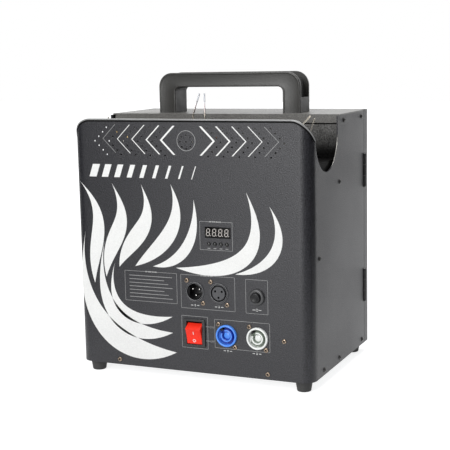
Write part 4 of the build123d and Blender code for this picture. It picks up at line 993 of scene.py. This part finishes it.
# The gas train. Soft copper pipes run from three solenoid valves on the shelf through the
# trough's wall; brass bodies, bright plungers in moulded coils, and the cans' seats below.
pipe_copper = finish(
    "pipe_copper", (0.22, 0.11, 0.075), (0.12, 0.062, 0.045), 0.36, metallic=1.0,
    drift=(0.015, 0.9), grain=(0.0006, 0.2), relief=0.01, uneven=0.2,
)
coil_plastic = finish(
    "coil_moulding", (0.018, 0.019, 0.022), (0.030, 0.030, 0.034), 0.4,
    drift=(0.01, 0.6), grain=(0.0007, 0.25), relief=0.04,
)
plunger_steel = finish(
    "plunger_steel", (0.56, 0.56, 0.57), (0.42, 0.42, 0.44), 0.25, metallic=1.0,
    drift=(0.008, 0.6), grain=(0.0003, 0.25), relief=0.006, stretch=(1, 0.1, 1),
)
rounded("gas_pipes", 0.2, pipe_copper)
rounded("valve_coils", 0.6, coil_plastic)
rounded("can_seats", 0.35, brass)
for head in ("left", "centre", "right"):
    rounded(f"{head}_valve_body", 0.4, brass)
    rounded(f"{head}_valve_plunger", 0.3, plunger_steel)


# The can bay. Zinc-plated sheet: the tray with its posts, the wall and the shelf. Each can
# stands in a plated cradle that a coil spring pushes up its post.
cradle_zinc = finish(
    "cradle_zinc", (0.40, 0.40, 0.41), (0.30, 0.30, 0.32), 0.38, metallic=0.9,
    drift=(0.012, 0.9), grain=(0.0009, 0.2), relief=0.02, uneven=0.2,
)
zinc_sheet = finish(
    "zinc_sheet", (0.44, 0.45, 0.46), (0.36, 0.37, 0.38), 0.38, metallic=0.9,
    drift=(0.014, 0.9), grain=(0.0018, 0.16), relief=0.015, uneven=0.16,
)
spring_steel = finish(
    "spring_steel", (0.40, 0.40, 0.42), (0.24, 0.24, 0.26), 0.3, metallic=1.0,
    drift=(0.006, 0.7), grain=(0.0004, 0.2), relief=0.01,
)
rounded("base_tray", 0.3, zinc_sheet)
rounded("can_partition", 0.3, zinc_sheet)
rounded("valve_shelf", 0.3, zinc_sheet)
SPRING_WIRE_R = 0.8 * MM
SPRING_R = 12 * MM
SPRING_TURNS = 5
for head in ("left", "centre", "right"):
    rounded(f"{head}_can_cradle", 0.4, cradle_zinc)
    spring = f"{head}_cradle_spring"
    low, high = (np.array(corner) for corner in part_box(spring))
    middle = (low + high) / 2
    step = np.linspace(0, 1, SPRING_TURNS * 32 + 1)
    turn = step * SPRING_TURNS * 2 * pi
    # The pitch eases to nothing in the first and last turn, as on a closed coil.
    ease = np.clip((step * 1.14 - 0.07), 0, 1)
    coil = np.stack([
        middle[0] + SPRING_R * np.cos(turn), middle[1] + SPRING_R * np.sin(turn),
        low[2] + SPRING_WIRE_R + (high[2] - low[2] - 2 * SPRING_WIRE_R) * ease,
    ], -1)
    outward = np.stack([np.cos(turn), np.sin(turn), 0 * turn], -1)
    upward = np.broadcast_to((0.0, 0.0, 1.0), outward.shape)
    wire = superellipse(SPRING_WIRE_R, SPRING_WIRE_R, 2, 12)
    piece = made(f"{spring}_coil", [(along(coil, outward, upward, wire), False, True)],
                 spring_steel, spring, replaces=[spring])
    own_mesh(piece)


# The electronics. A covered power supply, the control board on its spacers and three
# potted ignition blocks, all fixed to the front of the wall.
supply_cover = finish(
    "supply_cover", (0.40, 0.41, 0.42), (0.30, 0.31, 0.32), 0.42, metallic=0.8,
    drift=(0.03, 0.8), grain=(0.0010, 0.2), relief=0.02, stretch=(0.2, 1, 1),
)
board_green = finish(
    "board_lacquer", (0.012, 0.105, 0.040), (0.016, 0.160, 0.062), 0.3,
    drift=(0.0022, 1.0), grain=(0.0006, 0.3), relief=0.03, stretch=(1, 1, 0.12),
)
potting = finish(
    "potting_resin", (0.016, 0.016, 0.019), (0.026, 0.026, 0.030), 0.25,
    drift=(0.02, 0.7), grain=(0.0008, 0.2), relief=0.03, Coat_Weight=0.3, Coat_Roughness=0.2,
)
rounded("power_supply", 0.4, supply_cover)
rounded("control_board", 0.15, board_green)
rounded("ignition_modules", 0.5, potting)


# The data sockets. Moulded black chassis sockets clamped behind the panel: the plug socket
# has three bright pins in its hollow, the other a grey insert with three holes.
def boxed(layers, axes, origin):
    """Rounded rectangles of (width, height, radius, distance out) stacked and closed."""
    rings = [
        np.column_stack([loop(width, height, radius), np.full(32, distance)])
        for width, height, radius, distance in layers
    ]
    return (capped(placed(np.array(rings), axes, origin)), False, True)


def socket_back(x, z, barrel, depth):
    """The flange clamped behind the panel, with the barrel's round hole, and the body. The
    hole's points lie in the same directions as the flange's own outline."""
    outline = loop(26, 31, 3)
    hole = outline / np.linalg.norm(outline, axis=1)[:, None] * (barrel - 0.6)
    flange = np.stack([
        np.column_stack([line, np.full(len(line), height)])
        for line, height in ((hole, -4), (outline, -4), (outline, -1.6), (hole, -1.6))
    ])
    return [
        (placed(flange, ACROSS_FRONT, front_place(x, z)), True, True),
        turned([(0, -4), (barrel - 0.5, -4), (barrel - 0.5, -depth), (0, -depth)],
               ACROSS_FRONT, front_place(x, z), 32),
    ]


socket_black = finish(
    "socket_black", (0.010, 0.010, 0.011), (0.016, 0.016, 0.017), 0.3,
    drift=(0.006, 0.5), grain=(0.0006, 0.2), relief=0.02, Specular_IOR_Level=0.25,
)
socket_nickel = finish(
    "socket_nickel", (0.62, 0.61, 0.59), (0.45, 0.44, 0.43), 0.22, metallic=1.0,
    drift=(0.004, 0.7), grain=(0.0003, 0.15), relief=0.006, uneven=0.15,
)
insert_grey = finish(
    "insert_grey", (0.055, 0.056, 0.060), (0.040, 0.040, 0.044), 0.38,
    drift=(0.004, 0.5), grain=(0.0005, 0.2), relief=0.02,
)
DATA_RIM = [(10.2, -1.6), (10.8, -1.3), (10.8, 1.0), (10.45, 1.4), (9.9, 1.5), (9.5, 1.4), (9.2, 1.0)]
made(
    "data_in_socket_body",
    [turned(DATA_RIM + [(9.2, -12.5), (0, -12.5), (0, -14), (10.2, -14)],
            ACROSS_FRONT, front_place(6, 90), 64)] + socket_back(6, 90, 10.8, 23.5)[:1]
    + [turned([(0, -14.1), (10.3, -14.1), (10.3, -23.5), (0, -23.5)],
              ACROSS_FRONT, front_place(6, 90), 32)],
    socket_black, "data_in_socket", replaces=["data_in_socket"],
)
PIN_CIRCLE = 4.5
pins, holes = [], []
for step in range(3):
    turn = pi / 2 + step * 2 * pi / 3
    pins.append(turned(
        [(0, -12.6), (1.2, -12.6), (1.2, -3.6), (1.0, -3.0), (0.55, -2.7), (0, -2.6)],
        ACROSS_FRONT, front_place(6 + PIN_CIRCLE * cos(turn), 90 - PIN_CIRCLE * sin(turn)), 20,
    ))
    holes.append(turned(
        [(1.75, 1.42), (1.75, 1.62), (1.3, 1.62), (1.2, 1.45), (1.2, -6), (1.5, -6), (1.5, 1.42)],
        ACROSS_FRONT, front_place(34.4 + PIN_CIRCLE * cos(turn), 90 - PIN_CIRCLE * sin(turn)), 20,
    ))
made("data_in_pins", pins, socket_nickel, "data_in_socket", sharp=60)
made(
    "data_out_socket_body",
    [turned(DATA_RIM + [(9.2, -6.5), (9.0, -6.5), (9.0, -8), (10.2, -8)],
            ACROSS_FRONT, front_place(34.4, 90), 64)] + socket_back(34.4, 90, 10.8, 23.5),
    socket_black, "data_out_socket", replaces=["data_out_socket"],
)


def drilled_face(radius, places, bore, top, floor, axes, origin):
    """A round insert whose face is a grid in rings; where a point falls in a bore, its
    height drops to the bore's floor, and the nearest points are drawn onto its edge."""
    rings = np.linspace(0, radius - 0.35, 30)
    turn = np.arange(120) * 2 * pi / 120
    x = rings[:, None] * np.cos(turn)
    z = rings[:, None] * np.sin(turn)
    height = np.full_like(x, top)
    for place_x, place_z in places:
        off_x, off_z = x - place_x, z - place_z
        reach = np.hypot(off_x, off_z)
        inside = reach < bore
        height = np.where(inside, floor, height)
        edge = (reach >= bore) & (reach < bore * 1.25)
        share = np.where(edge, bore / np.maximum(reach, 1e-9), 1)
        x = place_x + off_x * share
        z = place_z + off_z * share
    face = np.stack([x, z, height], -1)
    side = np.array([(radius, top - 0.35), (radius, -6.4), (0, -6.4)])
    rim = np.stack([
        side[:, :1] * np.cos(turn), side[:, :1] * np.sin(turn),
        np.broadcast_to(side[:, 1:], (3, 120)),
    ], -1)
    return (placed(np.concatenate([face, rim]), axes, origin), False, True)


# Pale grey rings on the sockets' rims: painted highlights where the rounded rims catch the light.
socket_rim_highlight = finish(
    "socket_rim_painted_highlight", (0.30, 0.30, 0.31), (0.20, 0.20, 0.21), 0.4,
    drift=(0.002, 0.9), grain=(0.0005, 0.3), relief=0.01,
)
for node, (x, z) in zip(("data_in_socket", "data_out_socket"), SOCKET_PLACES[:2]):
    made(f"{node}_edges",
         [turned([(10.75, 0.9), (10.86, 0.9), (10.62, 1.3), (10.5, 1.3)], ACROSS_FRONT,
                 front_place(x, z), 64),
          turned([(9.15, 0.95), (9.3, 0.95), (9.52, 1.46), (9.38, 1.46)], ACROSS_FRONT,
                 front_place(x, z), 64)],
         socket_rim_highlight, node)
hole_places = [
    (PIN_CIRCLE * cos(pi / 2 + step * 2 * pi / 3), -PIN_CIRCLE * sin(pi / 2 + step * 2 * pi / 3))
    for step in range(3)
]
made("data_out_insert",
     [drilled_face(7.6, hole_places, 1.25, 1.3, -5, ACROSS_FRONT, front_place(34.4, 90))],
     insert_grey, "data_out_socket")


# The power sockets. Round twist-lock sockets in moulded plastic, a blue inlet and a pale
# grey outlet, each with a ring groove broken by a key and a second ring round its middle.
def twist_lock(key_turn):
    """The barrel and the broken inner ring. The ring's height falls to the groove's floor
    where the turn lies within the key's half angle."""
    barrel = turned(
        [(11.4, -1.6), (12, -1.4), (12, 2.1), (11.75, 2.7), (11.2, 3.0), (10.5, 3.0), (10.05, 2.7),
         (9.9, 2.2), (9.9, -3), (11.4, -3)], ACROSS_FRONT, (0, 0, 0), 72,
    )
    profile = np.array([(0, -1.8), (4.3, -1.8), (4.4, -1.6), (4.4, 1.0), (4.6, 1.4), (5.1, 1.6),
                        (6.5, 1.6), (7.0, 1.4), (7.2, 1.0), (7.2, -3.1), (9.95, -3.1),
                        (9.95, -4.2), (0, -4.2)])
    turn = np.arange(144) * 2 * pi / 144
    off = np.abs((turn - key_turn + pi) % (2 * pi) - pi)
    height = np.broadcast_to(profile[:, 1:], (len(profile), 144)).copy()
    raised = (profile[:, 0] >= 4.4) & (profile[:, 0] <= 7.2) & (profile[:, 1] > -1.7)
    height[np.outer(raised, off < 0.32)] = -2.4
    core = np.stack([profile[:, :1] * np.cos(turn), profile[:, :1] * np.sin(turn), height], -1)
    key = boxed([(3.2, 2.6, 0.5, -3.0), (3.2, 2.6, 0.5, 0.4), (2.6, 2.0, 0.4, 0.9)],
                np.array([(cos(key_turn + pi / 2), 0, sin(key_turn + pi / 2)),
                          (cos(key_turn), 0, sin(key_turn)), (0, -1, 0)]),
                np.array((cos(key_turn) * 8.5 * MM, 0, sin(key_turn) * 8.5 * MM)))
    return barrel, (placed(core, ACROSS_FRONT, (0, 0, 0)), False, True), key


def shifted(grid, origin):
    """The same grid of points, set down at another origin."""
    return (grid[0] + np.asarray(origin), grid[1], grid[2])


# Each socket's second, darker colour lies on its core: the ring groove, the walls and edges of the inner
# ring and the gap round the middle. It is painted shade in those recesses.
POWER_COLOURS = {
    "power_inlet": ((0.09, 0.30, 0.90), (0.07, 0.24, 0.78),
                    (0.012, 0.060, 0.42), (0.010, 0.045, 0.32)),
    "power_outlet": ((0.87, 0.88, 0.86), (0.79, 0.80, 0.77),
                     (0.24, 0.28, 0.23), (0.18, 0.21, 0.18)),
}
for node, (x, z) in zip(("power_inlet", "power_outlet"), SOCKET_PLACES[2:]):
    outer, outer_shade, inner, inner_shade = POWER_COLOURS[node]
    ring_plastic = finish(f"{node}_ring", outer, outer_shade, 0.3, drift=(0.006, 0.5),
                          grain=(0.0006, 0.12), relief=0.02)
    groove_painted_shade = finish(f"{node}_core", inner, inner_shade, 0.34, drift=(0.005, 0.6),
                       grain=(0.0006, 0.15), relief=0.02)
    barrel, core, key = twist_lock(pi * 0.72)
    origin = front_place(x, z)
    made(f"{node}_barrel", [shifted(barrel, origin)] + socket_back(x, z, 12, 26.5), ring_plastic,
         node, replaces=[node])
    made(f"{node}_middle", [shifted(core, origin)], groove_painted_shade, node)
    made(f"{node}_key", [shifted(key, origin)], socket_black, node)
    rim = turned([(5.1, 1.55), (5.3, 1.72), (6.3, 1.72), (6.5, 1.55)], ACROSS_FRONT, origin, 72)
    grid = rim[0].reshape(4, 72, 3)
    turn = np.arange(72) * 2 * pi / 72
    open_part = np.abs((turn - pi * 0.72 + pi) % (2 * pi) - pi) >= 0.36
    order = np.argsort((turn - pi * 0.72) % (2 * pi))
    kept = order[open_part[order]]
    made(f"{node}_inner_ring",
         [(capped(np.swapaxes(grid[:, kept], 0, 1)), False, True),
          turned([(0, -1.78), (3.7, -1.78), (3.7, -1.5), (3.4, -1.3), (0, -1.3)], ACROSS_FRONT, origin)],
         ring_plastic, node)


# The breaker. A threaded black body held by a knurled ring nut, and its domed button,
# which stands proud of the nut.
nut_black = finish(
    "nut_black", (0.042, 0.042, 0.044), (0.058, 0.058, 0.060), 0.34,
    drift=(0.005, 0.6), grain=(0.0005, 0.25), relief=0.03,
)
nut = np.array([(5.6, -1.4), (5.6, 2.7), (5.9, 3.0), (7.6, 3.0), (8.5, 2.6), (8.95, 1.9),
                (9.0, 0.3), (8.8, 0.02), (6.05, 0.02), (5.98, -1.4)])
NUT_POINTS = 144
knurl = 1 - 0.012 * (np.arange(NUT_POINTS) % 4 >= 2)
turn = np.arange(NUT_POINTS) * 2 * pi / NUT_POINTS
radius = nut[:, :1] * np.where((nut[:, :1] > 8) & (nut[:, 1:] < 2.7), knurl, 1)
nut_grid = np.stack([
    radius * np.cos(turn), radius * np.sin(turn),
    np.broadcast_to(nut[:, 1:], (len(nut), NUT_POINTS)),
], -1)
made(
    "breaker_body_finish",
    [(placed(nut_grid, ACROSS_FRONT, front_place(78.2, 89)), True, True),
     boxed([(17, 29, 2, -30), (18, 30, 2, -29.5), (18, 30, 2, -13), (18, 30, 2, -12.5)],
           ACROSS_FRONT, front_place(78.2, 89))],
    nut_black, "breaker_body", replaces=["breaker_body"],
)
made(
    "reset_button_finish",
    [turned([(0, 5.9), (2.2, 6.0), (3.6, 6.35), (4.4, 6.5), (5.0, 6.3), (5.4, 5.8), (5.5, 5.2),
             (5.5, 1.4), (5.2, 1.3), (5.2, 0.9), (5.5, 0.8), (5.5, -12), (0, -12)],
            ACROSS_FRONT, front_place(78.2, 89), 64)],
    socket_black, "reset_button", replaces=["reset_button"],
)


# The rocker switch. A glossy black housing clipped into the panel, and a red rocker with a
# hollow face, marked with a bar at its proud upper end and a ring at its lower end.
housing_black = finish(
    "housing_black", (0.014, 0.014, 0.015), (0.022, 0.022, 0.023), 0.26,
    drift=(0.01, 0.5), grain=(0.0006, 0.12), relief=0.015,
)
rocker_red = finish(
    "rocker_red", (0.95, 0.034, 0.014), (0.84, 0.026, 0.012), 0.3,
    drift=(0.008, 0.5), grain=(0.0007, 0.1), relief=0.015, Specular_IOR_Level=0.25,
)
mark_ink = finish(
    "rocker_mark_ink", (0.78, 0.74, 0.72), (0.66, 0.62, 0.60), 0.45,
    drift=(0.003, 0.5), grain=(0.0005, 0.15), relief=0.01,
)
rounded("rocker_housing", 0.6, housing_black, segments=3)
ROCKER_TILT = radians(16)
ROCKER_HALF = 8.9
rocker_axes = np.array([
    (1, 0, 0), (0, -sin(ROCKER_TILT), cos(ROCKER_TILT)), (0, cos(ROCKER_TILT), sin(ROCKER_TILT)),
])
rocker_origin = front_place(4.8, 44.4, -8.85)


def rocker_face(rise):
    """Depth of the hollow face at a height from its middle, deeper towards the middle."""
    return -12.3 - 0.9 * (np.abs(rise) / ROCKER_HALF) ** 1.7


face_rise = np.linspace(-ROCKER_HALF + 0.15, ROCKER_HALF - 0.15, 41)
skirt = np.array([(9.02, -12.95), (9.84, -10.9), (10.6, -8.27), (11.24, -5.98), (11.84, -3.85), (4, 1)])
section = np.concatenate([
    np.stack([face_rise, rocker_face(face_rise)], -1), skirt, skirt[::-1] * (-1, 1),
])
rows = []
for place, inset in ((-9, 0.5), (-8.85, 0.18), (-8.5, 0), (-4, 0), (4, 0), (8.5, 0), (8.85, 0.18), (9, 0.5)):
    shrunk = section * (1 - inset / 12) + (0, inset * 0.35)
    rows.append(np.column_stack([np.full(len(shrunk), place), shrunk]))
made("rocker_finish", [(capped(placed(np.array(rows), rocker_axes, rocker_origin)), False, True)],
     rocker_red, "rocker", sharp=35, replaces=["rocker"])


def on_rocker(flat, lift):
    """Points of the rocker's face from their places across and up it."""
    return placed(np.stack([flat[..., 0], flat[..., 1], rocker_face(flat[..., 1]) - lift], -1),
                  rocker_axes, rocker_origin)


bar_line = np.linspace(2.2, 5.8, 9)
bar = [np.stack([np.full(9, side), bar_line], -1) for side in (-0.4, 0.4)]
circle = np.stack([np.cos(np.arange(40) * 2 * pi / 40), np.sin(np.arange(40) * 2 * pi / 40)], -1)
ring = [circle * radius + (0, -5.2) for radius in (1.8, 1.15)]
rocker_marks = []
for left, right in (bar, ring):
    skin = np.stack([on_rocker(left, -0.02), on_rocker(left, 0.05), on_rocker(right, 0.05),
                     on_rocker(right, -0.02)], 1)
    meets = len(left) == 40
    rocker_marks.append((skin if meets else capped(skin), meets, True))
made("rocker_marks", rocker_marks, mark_ink, "rocker")


# The display. A smoked window clipped into the panel over a block of four seven-segment
# digits, whose unlit bars show as pale grey through it, with its board behind.
window_smoke = finish(
    "window_smoke", (0.003, 0.003, 0.003), (0.005, 0.005, 0.005), 0.32,
    drift=(0.02, 0.5), grain=(0.0010, 0.1), relief=0.004, Specular_IOR_Level=0.12,
)
digit_grey = finish(
    "digit_grey", (0.46, 0.43, 0.40), (0.36, 0.34, 0.31), 0.5,
    drift=(0.004, 0.5), grain=(0.0006, 0.15), relief=0.01,
)
rounded("display_window", 0.2, window_smoke)
rounded("display_module", 0.25, socket_black)
DIGIT_W, DIGIT_H, DIGIT_STEP, BAR_W, DIGIT_SLANT = 3.6, 7.4, 7.1, 0.85, 0.10
BAR_PLACES = (
    (0, 1, True), (0, 0, True), (0, -1, True), (-1, 0.5, False), (1, 0.5, False),
    (-1, -0.5, False), (1, -0.5, False),
)
digit_bars = []
for digit in range(4):
    middle_x = 34.5 - 0.4 + DIGIT_STEP * (digit - 1.5)
    for side, level, lies in BAR_PLACES:
        reach = DIGIT_W / 2 - 0.35 if lies else DIGIT_H / 4 - 0.2
        run = np.array([-reach, -reach + BAR_W / 2, reach - BAR_W / 2, reach])
        half = np.array([0.04, BAR_W / 2, BAR_W / 2, 0.04])
        x, z = side * DIGIT_W / 2, level * DIGIT_H / 2
        if lies:
            near, far = np.stack([x + run, z - half], -1), np.stack([x + run, z + half], -1)
        else:
            near, far = np.stack([x - half, z + run], -1), np.stack([x + half, z + run], -1)
        lines = [
            np.stack([middle_x + part[:, 0] + DIGIT_SLANT * part[:, 1], 155.9 + part[:, 1]], -1)
            for part in (near, far)
        ]
        skin = np.stack([
            placed(np.column_stack([line, np.full(4, proud)]), ACROSS_FRONT, front_place(0, 0))
            for line, proud in ((lines[0], 0.36), (lines[0], 0.43), (lines[1], 0.43), (lines[1], 0.36))
        ], 1)
        digit_bars.append((capped(skin), False, True))
    digit_bars.append(turned([(0, 0.36), (0.5, 0.36), (0.5, 0.43), (0, 0.43)], ACROSS_FRONT,
                             front_place(middle_x + 2.5, 152.4), 16))
made("display_digits", digit_bars, digit_grey, "display_module")


# The keys. Four small round caps of black plastic under the window, each a low dome on a
# flange that keeps it behind the panel.
key_black = finish(
    "key_black", (0.010, 0.010, 0.010), (0.015, 0.015, 0.015), 0.25,
    drift=(0.003, 0.5), grain=(0.0004, 0.15), relief=0.01,
)
for step, key in enumerate(("menu_button", "down_button", "up_button", "enter_button")):
    made(
        f"{key}_finish",
        [turned([(0, 1.5), (0.7, 1.44), (1.3, 1.22), (1.75, 0.85), (2.05, 0.4), (2.2, -0.2),
                 (2.2, -1.5), (3.0, -1.55), (3.1, -1.65), (3.1, -2.4), (2.2, -2.45), (2.2, -5),
                 (0, -5)], ACROSS_FRONT, front_place(34.5 + 7 * (step - 1.5), 143.3), 40)],
        key_black, key, replaces=[key],
    )
